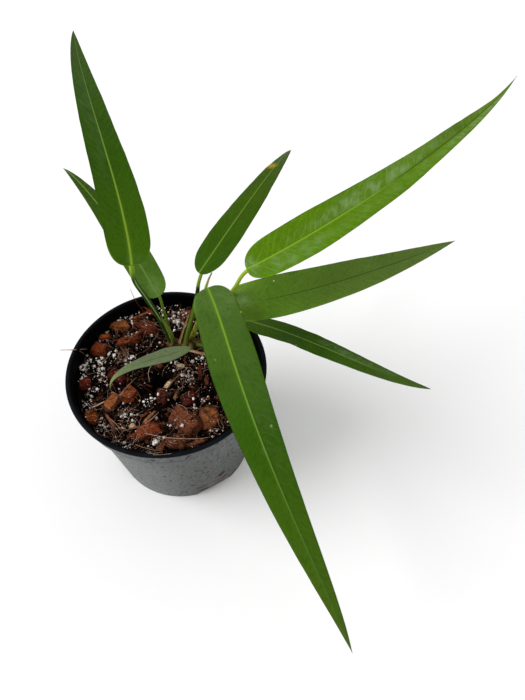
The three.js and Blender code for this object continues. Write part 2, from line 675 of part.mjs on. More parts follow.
function rhizomeWithRoots(grow = 0) {
  let rhizome = solidOf(rhizomeGeometry(grow));
  for (const root of rootGeometries(grow)) rhizome = rhizome.add(solidOf(root));
  return rhizome;
}

const potMaterial = new THREE.MeshStandardMaterial({ color: 0x6f7374, roughness: 0.55, metalness: 0 });
const mixMaterial = new THREE.MeshStandardMaterial({ color: 0x3a2417, roughness: 0.95, metalness: 0 });
const rhizomeMaterial = new THREE.MeshStandardMaterial({ color: 0x8a7048, roughness: 0.8, metalness: 0 });
const bladeMaterial = new THREE.MeshStandardMaterial({ color: 0x33611f, roughness: 0.4, metalness: 0 });
const youngBladeMaterial = new THREE.MeshStandardMaterial({ color: 0x5a9427, roughness: 0.3, metalness: 0 });
const dullBladeMaterial = new THREE.MeshStandardMaterial({ color: 0x63795a, roughness: 0.6, metalness: 0 });
const stalkMaterial = new THREE.MeshStandardMaterial({ color: 0x4e7a26, roughness: 0.45, metalness: 0 });
const shootMaterial = new THREE.MeshStandardMaterial({ color: 0x97a43a, roughness: 0.6, metalness: 0 });
const bladeMaterials = leaves.map(() => bladeMaterial);
bladeMaterials[3] = youngBladeMaterial;
bladeMaterials[7] = dullBladeMaterial;

const group = new THREE.Group();
group.name = 'potted_anthurium';

function addPiece(name, geometry, material) {
  const mesh = new THREE.Mesh(geometry, material.clone());
  mesh.name = name;
  group.add(mesh);
}

addPiece('pot', potGeometry(), potMaterial);
addPiece('potting_mix', pottingMixGeometry(), mixMaterial);
addPiece('rhizome', geometryOf(rhizomeWithRoots()), rhizomeMaterial);

const rhizomeSeat = rhizomeWithRoots(seatGap);
leaves.forEach((leaf, index) => {
  const blade = bladeGeometry(leaf);
  const bladeSeat = solidOf(bladeGeometry(leaf, seatGap));
  const stalk = solidOf(stalkGeometry(leaf)).subtract(rhizomeSeat).subtract(bladeSeat);
  addPiece(`leaf_${index + 1}_stalk`, geometryOf(stalk), stalkMaterial);
  addPiece(`leaf_${index + 1}_blade`, blade, bladeMaterials[index]);
});
sheaths.forEach((sheath) => {
  const material = new THREE.MeshStandardMaterial({ color: sheath.colour, roughness: 0.8, metalness: 0 });
  const body = solidOf(sheathGeometry(sheath)).subtract(rhizomeSeat);
  addPiece(`leaf_${sheath.leaf + 1}_sheath`, geometryOf(body), material);
});
addPiece('new_shoot', geometryOf(solidOf(shootGeometry()).subtract(rhizomeSeat)), shootMaterial);

export default group;
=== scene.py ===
import math

import bmesh
import bpy
import numpy as np
from mathutils import Matrix, Vector, noise


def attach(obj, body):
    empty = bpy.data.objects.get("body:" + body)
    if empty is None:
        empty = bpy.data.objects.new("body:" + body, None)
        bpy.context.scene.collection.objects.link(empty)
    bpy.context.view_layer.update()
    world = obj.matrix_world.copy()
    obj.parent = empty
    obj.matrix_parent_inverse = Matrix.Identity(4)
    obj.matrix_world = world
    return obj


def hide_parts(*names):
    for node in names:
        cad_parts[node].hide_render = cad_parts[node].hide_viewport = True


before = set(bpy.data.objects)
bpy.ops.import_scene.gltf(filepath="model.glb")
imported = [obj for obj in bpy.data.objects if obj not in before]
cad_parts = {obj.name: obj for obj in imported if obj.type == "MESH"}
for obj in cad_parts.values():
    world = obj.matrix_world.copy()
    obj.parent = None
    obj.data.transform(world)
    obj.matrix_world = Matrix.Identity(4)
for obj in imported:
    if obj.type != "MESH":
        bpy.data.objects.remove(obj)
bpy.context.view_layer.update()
print("frame loaded with", len(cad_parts), "nodes")

# A young strap-leaved anthurium in a round nursery pot. Shapes are worked out in millimetres, with the origin
# at the middle of the pot's flat base and +Z up, and addMesh turns them into metres.
millimetre = 0.001


def asDicts(names, rows):                          # each row of values becomes a dictionary with these names
    return [dict(zip(names.split(), row)) for row in rows]


# Camera, light and floor

cameraView = {
    "place": (54.4, -203.1, 384.6),
    "elevation": 53.9,
    "roll": 0.95,
    "focalPixels": 600,
    "longSidePixels": 700,
    "sensor": 36,
}
studio = {
    "skyStrength": 0.7,
    "floorColour": (0.97, 0.97, 0.97, 1),
    "lampTowards": (-0.8, -0.1, 0.6),              # from the pot to the lamp
    "lampSpread": 45,                              # degrees: the wider, the softer its shadows
    "lampStrength": 2.1,
}


def addCamera(view):
    data = bpy.data.cameras.new("camera")
    data.sensor_width = view["sensor"]
    data.lens = view["sensor"] * view["focalPixels"] / view["longSidePixels"]
    elevation = math.radians(view["elevation"])
    roll = math.radians(view["roll"])
    back = Vector((0, -math.cos(elevation), math.sin(elevation)))
    right = Vector((1, 0, 0))
    up = back.cross(right)
    rolledRight = right * math.cos(roll) + up * math.sin(roll)
    rolledUp = up * math.cos(roll) - right * math.sin(roll)
    camera = bpy.data.objects.new("camera", data)
    turned = Matrix((rolledRight, rolledUp, back)).transposed().to_4x4()
    camera.matrix_world = Matrix.Translation(Vector(view["place"]) * millimetre) @ turned
    bpy.context.scene.collection.objects.link(camera)
    bpy.context.scene.camera = camera


def addLamp(studio):
    data = bpy.data.lights.new("lamp", "SUN")
    data.energy = studio["lampStrength"]
    data.angle = math.radians(studio["lampSpread"])
    lamp = bpy.data.objects.new("lamp", data)
    lamp.rotation_euler = Vector(studio["lampTowards"]).to_track_quat("Z", "Y").to_euler()
    bpy.context.scene.collection.objects.link(lamp)


def addStudio(studio):
    world = bpy.data.worlds.new("sky")
    world.use_nodes = True
    sky = world.node_tree.nodes["Background"]
    sky.inputs["Color"].default_value = (1, 1, 1, 1)
    sky.inputs["Strength"].default_value = studio["skyStrength"]
    bpy.context.scene.world = world
    bpy.context.scene.view_settings.view_transform = "Standard"
    addLamp(studio)
    mesh = bpy.data.meshes.new("floor")
    reach = 3
    corners = [(-reach, -reach, 0), (reach, -reach, 0), (reach, reach, 0), (-reach, reach, 0)]
    mesh.from_pydata(corners, [], [(0, 1, 2, 3)])
    floor = bpy.data.objects.new("floor", mesh)
    paper = bpy.data.materials.new("floorPaper")
    paper.use_nodes = True
    paper.node_tree.nodes["Principled BSDF"].inputs["Base Color"].default_value = studio["floorColour"]
    paper.node_tree.nodes["Principled BSDF"].inputs["Roughness"].default_value = 0.9
    paper.node_tree.nodes["Principled BSDF"].inputs["Specular IOR Level"].default_value = 0
    mesh.materials.append(paper)
    bpy.context.scene.collection.objects.link(floor)


addCamera(cameraView)
addStudio(studio)
print("camera, lamp and floor are in")


# Shader helpers: a Wire is a socket that can stand in a sum, a Finish is one material being wired up

def rgb(red, green, blue):                         # a screen colour from 0 to 255, made linear
    levels = [level / 255 for level in (red, green, blue)]
    return tuple(v / 12.92 if v <= 0.04045 else ((v + 0.055) / 1.055) ** 2.4 for v in levels) + (1,)


class Wire:
    def __init__(self, finish, socket):
        self.finish = finish
        self.socket = socket

    def maths(self, operation, *terms):
        return self.finish.add("ShaderNodeMath", {"operation": operation}, dict(enumerate(terms)))

    def __add__(self, other):
        return self.maths("ADD", self, other)

    def __sub__(self, other):
        return self.maths("SUBTRACT", self, other)

    def __rsub__(self, other):
        return self.maths("SUBTRACT", other, self)

    def __mul__(self, other):
        return self.maths("MULTIPLY", self, other)

    def __truediv__(self, other):
        return self.maths("DIVIDE", self, other)

    def __pow__(self, power):
        return self.maths("POWER", self, power)

    __radd__ = __add__
    __rmul__ = __mul__

    def size(self):
        return self.maths("ABSOLUTE", self)

    def part(self):
        return self.maths("FRACT", self)

    def rise(self, low, high):                     # 0 below low, 1 above high, smooth between
        ends = {"Value": self, "From Min": low, "From Max": high}
        return self.finish.add("ShaderNodeMapRange", {"interpolation_type": "SMOOTHSTEP"}, ends)


class Finish:
    colour = None                                  # what has been laid on it so far

    def __init__(self, name, **fixed):
        self.material = bpy.data.materials.new(name)
        self.material.use_nodes = True
        self.tree = self.material.node_tree
        self.shader = self.tree.nodes["Principled BSDF"]
        for socket, value in fixed.items():
            self.shader.inputs[socket.replace("_", " ")].default_value = value
        self.place = self.add("ShaderNodeTexCoord", output="Object")

    def add(self, kind, settings=None, sockets=None, output=0):
        node = self.tree.nodes.new(kind)
        for key, value in (settings or {}).items():
            if key == "stops":
                self.setStops(node.color_ramp, value)
            else:
                setattr(node, key, value)
        for key, value in (sockets or {}).items():
            if isinstance(value, Wire):
                self.tree.links.new(value.socket, node.inputs[key])
            else:
                node.inputs[key].default_value = value
        return Wire(self, node.outputs[output])

    def setStops(self, ramp, stops):
        first, *between, last = stops
        for element, (position, colour) in zip(ramp.elements, (first, last)):
            element.position = position
            element.color = colour
        for position, colour in between:
            ramp.elements.new(position).color = colour

    def ramp(self, wire, stops):                   # screen colours at shares along a wire's range
        stops = [(position, rgb(*colour)) for position, colour in stops]
        return self.add("ShaderNodeValToRGB", {"stops": stops}, {"Fac": wire}, "Color")

    def axes(self):                                # the place on the piece as three numbers, in metres
        node = self.add("ShaderNodeSeparateXYZ", {}, {0: self.place}).socket.node
        return [Wire(self, node.outputs[axis]) for axis in "XYZ"]

    def value(self, name):                         # a number stored at each point of the mesh
        return self.add("ShaderNodeAttribute", {"attribute_name": name}, output="Fac")

    def noise(self, scale, detail=2, at=None):     # scale in spots for each metre
        values = {"Vector": at or self.place, "Scale": scale, "Detail": detail}
        return self.add("ShaderNodeTexNoise", {}, values)

    def vector(self, x, y, z=0):
        return self.add("ShaderNodeCombineXYZ", {}, {0: x, 1: y, 2: z})

    def blend(self, low, high, mask):              # screen colours, linear ones with an alpha, or wires
        low, high = (rgb(*c) if isinstance(c, tuple) and len(c) == 3 else c for c in (low, high))
        return self.add("ShaderNodeMix", {"data_type": "RGBA"}, {0: mask, 6: low, 7: high}, 2)

    def lay(self, colour, mask):                   # over what is there, where the mask is 1
        self.colour = self.blend(self.colour, colour, mask)

    def scaled(self, colour, factor):
        return self.add("ShaderNodeVectorMath", {"operation": "SCALE"}, {0: colour, "Scale": factor})

    def feed(self, socket, wire):
        self.tree.links.new(wire.socket, self.shader.inputs[socket])

    def bump(self, height, strength, distance):
        values = {"Strength": strength, "Distance": distance, "Height": height}
        self.feed("Normal", self.add("ShaderNodeBump", {}, values))


# Mesh helpers

def addMesh(name, points, faces, finishes, values=None, node=None, slot=None):
    mesh = bpy.data.meshes.new(name)
    mesh.from_pydata((np.asarray(points) * millimetre).tolist(), [], faces)
    for finish in finishes:
        mesh.materials.append(finish.material)
    for key, numbers in (values or {}).items():
        stored = mesh.attributes.new(key, "FLOAT", "POINT")
        stored.data.foreach_set("value", np.asarray(numbers, np.float32))
    mesh.polygons.foreach_set("use_smooth", [True] * len(mesh.polygons))
    piece = bpy.data.objects.new(name, mesh)
    bpy.context.scene.collection.objects.link(piece)
    seat(piece, node, slot)
    return piece


def seat(piece, node, slot):
    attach(piece, "root")
    if node:
        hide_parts(node)


def unit(vectors):
    return vectors / np.linalg.norm(vectors, axis=-1, keepdims=True)


def curveThrough(route, shares):                   # points at shares from 0 to 1 of a smooth curve
    route = np.asarray(route, float)
    padded = np.vstack([2 * route[0] - route[1], route, 2 * route[-1] - route[-2]])
    reach = np.clip(shares, 0, 1) * (len(route) - 1)
    index = np.minimum(reach.astype(int), len(route) - 2)
    t = (reach - index)[:, None]
    before, start, end, after = (padded[index + step] for step in range(4))
    leaving = (end - before) / 2
    arriving = (after - start) / 2
    return (start * (2 * t ** 3 - 3 * t ** 2 + 1) + leaving * (t ** 3 - 2 * t ** 2 + t)
            + end * (3 * t ** 2 - 2 * t ** 3) + arriving * (t ** 3 - t ** 2))


def lineFrames(line, facing):                      # onward, outward and cross directions along a line
    along = unit(np.gradient(line, axis=0))
    out = unit(facing - along * (along @ facing)[:, None])
    return along, out, np.cross(along, out)


def ringFaces(rows, sides):                        # the skin over stacked rings, with flat caps
    faces = []
    for row in range(rows - 1):
        for side in range(sides):
            a, b = row * sides + side, row * sides + (side + 1) % sides
            faces.append((a, b, b + sides, a + sides))
    faces.append(tuple(reversed(range(sides))))
    faces.append(tuple(range((rows - 1) * sides, rows * sides)))
    return faces


def tube(line, radii, sides):                      # radii: one for each row, or one for each point
    line = np.asarray(line, float)
    radii = np.asarray(radii, float)
    if radii.ndim == 1:
        radii = np.repeat(radii[:, None], sides, axis=1)
    along = unit(np.gradient(line, axis=0))
    out = np.zeros_like(line)
    last = np.array((0.31, -0.87, 0.37))           # no tube here starts in this direction
    for i, direction in enumerate(along):          # carried along, so that the tube never twists
        last = last - direction * (direction @ last)
        last = last / np.linalg.norm(last)
        out[i] = last
    cross = np.cross(along, out)
    angle = np.arange(sides) / sides * 2 * np.pi
    ring = out[:, None] * np.cos(angle)[:, None] + cross[:, None] * np.sin(angle)[:, None]
    points = (line[:, None] + ring * radii[..., None]).reshape(-1, 3)
    count = len(line)
    values = {
        "along": np.repeat(np.linspace(0, 1, count), sides),
        "around": np.tile(angle / (2 * np.pi), count),
    }
    return points, ringFaces(count, sides), values


def twoSkins(over, under, values):                 # one closed sheet from two skins that meet at both margins
    rows, columns = over.shape[:2]
    upper = np.arange(rows * columns).reshape(rows, columns)
    lower = upper.copy()
    lower[:, 1:-1] = rows * columns + np.arange(rows * (columns - 2)).reshape(rows, columns - 2)
    points = np.vstack([over.reshape(-1, 3), under[:, 1:-1].reshape(-1, 3)])
    faces = []
    for skin, turned in ((upper, False), (lower, True)):
        a, b, c, d = skin[:-1, :-1], skin[1:, :-1], skin[1:, 1:], skin[:-1, 1:]
        quads = np.stack([a, d, c, b] if turned else [a, b, c, d], -1).reshape(-1, 4)
        faces += [tuple(face) for face in quads.tolist()]
    for row, turned in ((0, False), (rows - 1, True)):
        for left in range(columns - 1):
            right = left + 1
            loop = [upper[row, left], upper[row, right], lower[row, right], lower[row, left]]
            loop = [int(index) for index in dict.fromkeys(loop)]
            faces.append(tuple(reversed(loop)) if turned else tuple(loop))
    both = {}
    for key, grid in values.items():
        grid = np.broadcast_to(grid, (rows, columns))
        both[key] = np.concatenate([grid.ravel(), grid[:, 1:-1].ravel()])
    return points, faces, both


class Heap:                                        # many small closed forms that become one piece
    def __init__(self):
        self.points = []
        self.faces = []
        self.tints = []
        self.total = 0

    def put(self, points, faces, tint):
        self.points.append(points)
        self.faces += [tuple(index + self.total for index in face) for face in faces]
        self.tints.append(np.full(len(points), tint))
        self.total += len(points)

    def finish(self, name, finishes, slot, node=None, values=None):
        values = dict(values or {}, tint=np.concatenate(self.tints))
        return addMesh(name, np.vstack(self.points), self.faces, finishes, values, node, slot)


def lumpiness(points, size, octaves=3, shift=0.0):
    offset = Vector((shift, 0.37 * shift, 0.71 * shift))
    return np.array([noise.fractal(Vector(p) / size + offset, 0.9, 2.1, octaves) for p in points])


def grainShapes(count, subdivisions, roughness):   # a few irregular pebbles of radius 1 to place many times
    shapes = []
    for number in range(count):
        ball = bmesh.new()
        bmesh.ops.create_icosphere(ball, subdivisions=subdivisions, radius=1)
        points = np.array([vertex.co[:] for vertex in ball.verts])
        faces = [tuple(vertex.index for vertex in face.verts) for face in ball.faces]
        ball.free()
        swell = 1 + roughness * lumpiness(points, 0.8, 3, 3.7 * number + 1)
        shapes.append((points * swell[:, None], faces))
    return shapes


def randomTurn(random):
    axis = unit(random.normal(size=3))
    return np.array(Matrix.Rotation(random.uniform(0, 2 * math.pi), 3, Vector(axis)))


def seededRandom(seed):                            # the same stream of draws that shaped the solid mix
    state = seed
    low32 = 0xFFFFFFFF
    stride = 0x6D2B79F5
    while True:
        state = (state + stride) & low32
        mixed = ((state ^ (state >> 15)) * (1 | state)) & low32
        mixed = ((mixed + ((mixed ^ (mixed >> 7)) * (61 | mixed))) & low32) ^ mixed
        yield (mixed ^ (mixed >> 14)) / 2 ** 32


# Pot

potForm = {
    "height": 88,
    "rimLean": -2.7,                               # the rim's centre stands beside the base's
    "rimRadius": 59.8,
    "rimDepth": 1.9,
    "rimWidth": 2.9,
    "collarRadius": 57.9,
    "collarFootRadius": 57.3,
    "collarDepth": 13,
    "collarStep": 1.2,
    "wallTopRadius": 54.4,
    "baseRadius": 45.8,
    "wallThickness": 1.2,
    "floorThickness": 1.6,
    "floorRound": 1.4,
    "cornerRound": 0.9,
    "capRadius": 0.4,
    "segments": 180,
    "sharpAngle": 38,
    "drainHoleRadius": 3.5,
    "drainHoleRing": 27,
    "drainHoleCut": 8,
    "drainHoleTurn": 0.07,                         # radians: keeps their corners off the floor's own edges
    "drainHoles": 6,
    "cornerSlotHalfWidth": 12.5,
    "cornerSlotHeight": 5.5,
    "cornerSlotDepth": 8,
    "cornerSlots": 4,
    "cornerSlotBearing": -59,
}
potLook = {
    "wall": (106, 109, 108),
    "wallDark": (76, 78, 76),
    "wallPale": (137, 140, 138),
    "rim": (15, 20, 25),
    "rimDark": (6, 8, 10),
    "inside": (2, 2, 3),
    # also the colour of the painted shade under the collar
    "speckAndCollarShade": (40, 41, 40),
}
# Marks on the wall: millimetres round it from the front and up it, reach along and across, slant in degrees,
# colour and strength
wallMarks = asDicts("round up long short slant colour strength", [
    (-8.1, 68, 8, 0.6, 90, (58, 59, 58), 0.6),
    (21.8, 57.6, 19, 0.4, 70, (78, 80, 78), 0.6),
    (26, 9, 14, 7, 15, (84, 72, 64), 0.5),
    (32.6, 20.5, 4, 3.6, 20, (8, 10, 10), 1),
    (34.7, 12, 3.2, 2.6, 30, (96, 46, 34), 0.9),
    (22.6, 10.2, 6, 1.5, 20, (134, 122, 104), 0.6),
    (19, 7.5, 5, 2.6, 15, (44, 38, 34), 0.8),
    (17, 13.5, 5, 2, 15, (52, 48, 42), 0.8),
    (-4, 74.6, 2.6, 0.9, 10, (36, 38, 38), 0.8),
    (0.9, 74.6, 2.2, 0.5, 5, (42, 44, 44), 0.7),
    (24, 78, 2.4, 1.8, 0, (74, 78, 80), 0.5),
])


def innerRadius(z):
    form = potForm
    wallTop = form["height"] - form["collarDepth"]
    wall = form["baseRadius"] + (form["wallTopRadius"] - form["baseRadius"]) * np.clip(z / wallTop, 0, 1)
    step = np.clip((z - wallTop) / form["collarStep"], 0, 1)
    return wall - form["wallThickness"] + (form["collarFootRadius"] - form["wallTopRadius"]) * step


def leanAt(z):
    return potForm["rimLean"] * z / potForm["height"]


def potProfile():
    form = potForm
    top = form["height"]
    collarLow = top - form["collarDepth"]
    lipLow = top - form["rimDepth"]
    innerTop = form["collarFootRadius"] - form["wallThickness"]
    easeOut, easeDown = 0.3, 0.6                   # of the rim's inner shoulder
    return [
        (form["capRadius"], 0),
        (form["baseRadius"], 0),
        (form["wallTopRadius"], collarLow - form["collarStep"]),
        (form["collarFootRadius"], collarLow),
        (form["collarRadius"], lipLow),
        (form["rimRadius"], lipLow),
        (form["rimRadius"], top),
        (form["rimRadius"] - form["rimWidth"], top),
        (innerTop + easeOut, lipLow - easeDown),
        (innerTop, collarLow + form["collarStep"]),
        (innerRadius(collarLow), collarLow),
        (innerRadius(form["floorThickness"]), form["floorThickness"]),
        (form["capRadius"], form["floorThickness"]),
    ]


def softenCorners(profile, reach, steps=6):        # each inner corner becomes a short curve
    profile = [np.array(point, float) for point in profile]
    soft = [profile[0]]
    for before, corner, after in zip(profile, profile[1:], profile[2:]):
        towardsBefore = before - corner
        towardsAfter = after - corner
        backLength = np.linalg.norm(towardsBefore)
        onLength = np.linalg.norm(towardsAfter)
        start = corner + towardsBefore / backLength * min(reach, 0.45 * backLength)
        end = corner + towardsAfter / onLength * min(reach, 0.45 * onLength)
        for t in np.linspace(0, 1, steps):
            soft.append(start * (1 - t) ** 2 + corner * 2 * t * (1 - t) + end * t ** 2)
    soft.append(profile[-1])
    return np.array(soft)


def lathe(profile, segments):                      # turns a profile about the pot's leaning axis
    angle = np.arange(segments) / segments * 2 * np.pi
    circle = np.stack([np.cos(angle), np.sin(angle)], -1)
    rings = []
    for radius, z in profile:
        rings.append(np.column_stack([circle * radius + [leanAt(z), 0], np.full(segments, z)]))
    return np.vstack(rings), ringFaces(len(profile), segments)


def roundCutter(radius, depth):                    # a plain cylinder about +Z
    sides = 40
    points, faces = lathe([(1, 0), (1, 0)], sides)
    points = points * radius
    points[:sides, 2] = -depth / 2
    points[sides:, 2] = depth / 2
    return points, faces


def potCutters():
    form = potForm
    cutters = []
    ring = form["drainHoleRing"]
    turned = Matrix.Rotation(form["drainHoleTurn"], 4, "Z")
    for hole in range(form["drainHoles"]):
        angle = 2 * math.pi * hole / form["drainHoles"]
        place = Matrix.Translation((ring * math.cos(angle), ring * math.sin(angle), 0))
        cutters.append((*roundCutter(form["drainHoleRadius"], form["drainHoleCut"]), place @ turned))
    for slot in range(form["cornerSlots"]):
        angle = math.radians(form["cornerSlotBearing"] + 360 * slot / form["cornerSlots"])
        points, faces = roundCutter(1, form["cornerSlotDepth"])
        points = points * [form["cornerSlotHeight"], form["cornerSlotHalfWidth"], 1]
        turn = Matrix.Rotation(angle, 4, "Z") @ Matrix.Translation((form["baseRadius"], 0, 0))
        cutters.append((points, faces, turn @ Matrix.Rotation(math.pi / 2, 4, "Y")))
    return cutters


def cutWith(piece, cutters):
    for number, (points, faces, place) in enumerate(cutters):
        mesh = bpy.data.meshes.new(f"cutter{number}")
        mesh.from_pydata(points.tolist(), [], faces)
        mesh.transform(Matrix.Scale(millimetre, 4) @ place)
        cutter = bpy.data.objects.new(f"cutter{number}", mesh)
        bpy.context.scene.collection.objects.link(cutter)
        cut = piece.modifiers.new("cut", "BOOLEAN")
        cut.operation = "DIFFERENCE"
        cut.object = cutter
        bpy.context.view_layer.update()
        evaluated = piece.evaluated_get(bpy.context.evaluated_depsgraph_get())
        piece.data = bpy.data.meshes.new_from_object(evaluated)
        piece.modifiers.clear()
        bpy.data.objects.remove(cutter)


def potWallFinish(look):
    finish = Finish("potWall", Roughness=0.6, Specular_IOR_Level=0.2)
    x, y, z = finish.axes()
    angle = x.maths("ARCTAN2", x, 0 - y)            # 0 faces the viewer
    girth = angle * 0.05                            # metres round the wall, at about its radius
    slant = 0.9                                     # the specks lie on a slant, low on the left
    length = girth * math.cos(slant) + z * math.sin(slant)
    width = z * math.cos(slant) - girth * math.sin(slant)
    # darker towards the right of the wall: painted shade on the side away from the lamp; more specks fall
    # there too
    rightShadeAndSpecks = (x * 20).rise(-0.48, 0.78)
    # a soft dark band right of the middle: painted shadow of the leaf above
    paintedLeafShadow = 1 - (x * 20 - 0.26).size().rise(0, 0.4)
    cloud = finish.noise(24, 4)
    fine = finish.noise(620, 3)
    smear = finish.noise(1, 3, at=finish.vector(length * 90, width * 700))
    dark = look["wallDark"]
    # random mottling of the wall, plus painted shade towards the right
    finish.colour = finish.blend(look["wall"], dark, cloud.rise(0.35, 0.65) * 0.35 + rightShadeAndSpecks * 0.5)
    finish.lay(look["wallPale"], smear.rise(0.55, 0.75) * 0.15 + fine.rise(0.5, 0.66) * 0.35)
    # fine dark speckle, plus a little more painted shade towards the right
    finish.lay(dark, (1 - fine.rise(0.34, 0.48)) * 0.55 + rightShadeAndSpecks * 0.1)
    # painted shadow of the leaf above
    finish.lay(dark, paintedLeafShadow * 0.4)
    specks = 0
    for scale, least, most, share in ((300, 0.15, 0.27, 0.36), (170, 0.07, 0.16, 0.3)):
        cells = {"Vector": finish.vector(length * 0.5, width), "Scale": scale, "Randomness": 1}
        reach = finish.add("ShaderNodeTexVoronoi", {"voronoi_dimensions": "2D"}, cells, "Distance")
        draws = finish.add("ShaderNodeTexVoronoi", {"voronoi_dimensions": "2D"}, cells, "Color")
        draw = finish.add("ShaderNodeSeparateColor", {}, {0: draws}, "Red")
        size = finish.add("ShaderNodeSeparateColor", {}, {0: draws}, "Green")
        chosen = (draw + rightShadeAndSpecks * share * 1.5).rise(1 - share * 0.5, 1.02 - share * 0.5)
        specks = (1 - (reach / (size * (most - least) + least)).rise(0.75, 1)) * chosen + specks
    finish.lay(look["speckAndCollarShade"], specks * 0.9)
    foot = (potForm["height"] - potForm["collarDepth"]) * millimetre
    # a thin broken dark line just under the collar's edge: painted shade where the collar overhangs the wall
    shadeUnderCollar = 1 - ((z - foot) * 1000 - 0.6).size().rise(0.4, 1)
    finish.lay(look["speckAndCollarShade"], shadeUnderCollar * finish.noise(130, 3).rise(0.36, 0.6) * 0.75)
    ragged = finish.noise(900, 3)
    for mark in wallMarks:
        turn = math.radians(mark["slant"])
        east = girth * 1000 - mark["round"]
        north = z * 1000 - mark["up"]
        along = (east * math.cos(turn) + north * math.sin(turn)) / mark["long"]
        across = (north * math.cos(turn) - east * math.sin(turn)) / mark["short"]
        shape = 1 - (along * along + across * across + (ragged - 0.5) * 1.6).rise(0.2, 1)
        finish.lay(mark["colour"], shape * mark["strength"])
    finish.feed("Base Color", finish.colour)
    finish.feed("Roughness", 0.5 + cloud * 0.2)
    finish.bump(fine + smear * 0.5 + specks * 0.5, 0.15, 0.0003)
    return finish


def potRimFinish(look):
    finish = Finish("potRim", Roughness=0.5, Specular_IOR_Level=0.05)
    x, y, height = finish.axes()
    cloud = finish.noise(90, 3)
    east = x * 1000 - potForm["rimLean"]
    radius = (east * east + y * y * 1e6) ** 0.5
    lip = radius.rise(potForm["rimRadius"] - 2.4, potForm["rimRadius"] - 1.4)
    lipColour = finish.blend(look["rimDark"], look["rim"], cloud.rise(0.35, 0.6))
    finish.feed("Base Color", finish.blend(look["inside"], lipColour, lip))
    finish.feed("Roughness", 0.4 + cloud * 0.25)
    finish.bump(finish.noise(1400, 2), 0.1, 0.0003)
    return finish


def makePot():
    points, faces = lathe(softenCorners(potProfile(), potForm["cornerRound"]), potForm["segments"])
    finishes = [potWallFinish(potLook), potRimFinish(potLook)]
    pot = addMesh("nurseryPot", points, faces, finishes, None, "pot", "pot")
    cutWith(pot, potCutters())
    lipLow = potForm["height"] - potForm["rimDepth"]
    floorTop = potForm["floorThickness"]
    for face in pot.data.polygons:                 # black at the rim and inside, grey outside
        middle = face.center / millimetre
        radius = math.hypot(middle.x - leanAt(middle.z), middle.y)
        inside = radius < innerRadius(middle.z) + 0.4 and middle.z > floorTop - 0.2
        face.material_index = 1 if inside or middle.z > lipLow - 0.1 else 0
        face.use_smooth = True
    pot.data.set_sharp_from_angle(angle=math.radians(potForm["sharpAngle"]))


makePot()
print("pot made")


# Potting mix: a bed of peat with husk chips, perlite, crumbs, shreds and coir fibres on it

mixForm = {
    "level": 77.6,
    "riseX": 0.02,
    "riseY": 0.035,
    "roughness": 1.1,
    "hollowPlace": (-7.8, -3.2),
    "hollowRadius": 8,
    "hollowDepth": 7,
    "lumpHeight": 1.1,
    "crumbHeight": 0.8,
    "gap": 0.3,
    "rings": 124,
    "segments": 340,
}
mixLook = {
    "peat": (9, 4, 3),
    "peatRed": (40, 18, 12),
    "peatPale": (84, 52, 36),
    "perlite": (244, 240, 234),
    "perliteDull": (176, 160, 148),
    "fibreDark": (58, 24, 14),
    "fibre": (118, 70, 44),
    "fibrePale": (226, 196, 170),
}
# Husk chips: place on the mix, size, turn, colour, and how fibrous the surface is
chips = asDicts("x y length width height turn tint rough", [
    (-39, 38.5, 15, 9, 7, 8, (146, 82, 38), 0.4),
    (-48.1, 17.7, 9, 9, 7, 70, (118, 48, 14), 0.9),
    (-24.9, -13.7, 12, 9, 7, 55, (128, 58, 24), 0.4),
    (-34.5, -19.5, 16, 6, 5, 63, (140, 80, 40), 0.5),
    (-44.6, -30.1, 8, 8, 6, 0, (150, 74, 28), 0.3),
    (-11.6, -37.3, 19, 9, 7, 22, (126, 54, 26), 0.6),
    (9.5, -30.7, 21, 13, 7, -38, (112, 56, 32), 1.3),
    (24.5, -28.9, 11, 14, 6, 12, (124, 70, 36), 0.5),
    (11.6, -17.1, 9, 9, 7, 30, (70, 8, 5), 0.5),
    (-5.4, -14.9, 9, 7, 6, 80, (74, 18, 10), 0.9),
    (-52.4, -6.6, 7, 8, 5, 20, (100, 24, 10), 0.5),
    (-21.9, 37.6, 17, 8, 5, -30, (112, 38, 16), 2),
    (-32, 26.2, 18, 6, 4, 12, (128, 50, 16), 1.3),
    (-33.3, -1, 11, 8, 5, -25, (82, 20, 10), 0.8),
    (5.4, -45.3, 13, 8, 6, -5, (100, 42, 20), 1.1),
    (33.5, -13.5, 11, 8, 6, 70, (92, 38, 22), 0.7),
    (41.4, 5.8, 10, 9, 6, 15, (104, 48, 24), 0.7),
    (37.5, 27.1, 12, 8, 6, -50, (96, 40, 22), 0.9),
    (5.9, 44.9, 12, 7, 5, 5, (84, 34, 18), 1.1),
])
# Where the perlite lies thick: middle, spread and number of grains, before those that touch are dropped
perliteDrifts = [
    (-31, 46, 6, 32), (-29, 38, 3, 9), (-46, 29, 5, 25), (-32, 31, 3, 9), (0, 43, 8, 83),
    (-54, 11, 4, 29), (-54, 4, 4, 32), (-47, 11, 4, 18), (-45, 0, 5, 40), (-39, 14, 3, 13),
    (-48, -10, 3, 18), (-50, -21, 4, 22), (-49, -27, 3, 11), (-13, -19, 4, 22), (-26, -29, 6, 52),
    (-38, -35, 5, 38), (-29, -45, 3, 11), (-22, -48, 4, 25), (-4, -43, 3, 18), (9, 0, 6, 47),
    (20, -19, 3, 14), (14, -23, 3, 14), (29, -28, 2, 7), (27, -37, 4, 25), (10, -35, 5, 18),
    (1, 10, 3, 14), (-38, 41, 3, 7), (15, 10, 4, 18), (-30, 11, 5, 18), (37, -7, 6, 36), (30, 13, 6, 29),
    (28, 39, 6, 36), (-14, 49, 4, 14), (-56, 8, 2, 12), (-55, -4, 3, 14), (2, 41, 5, 60),
]
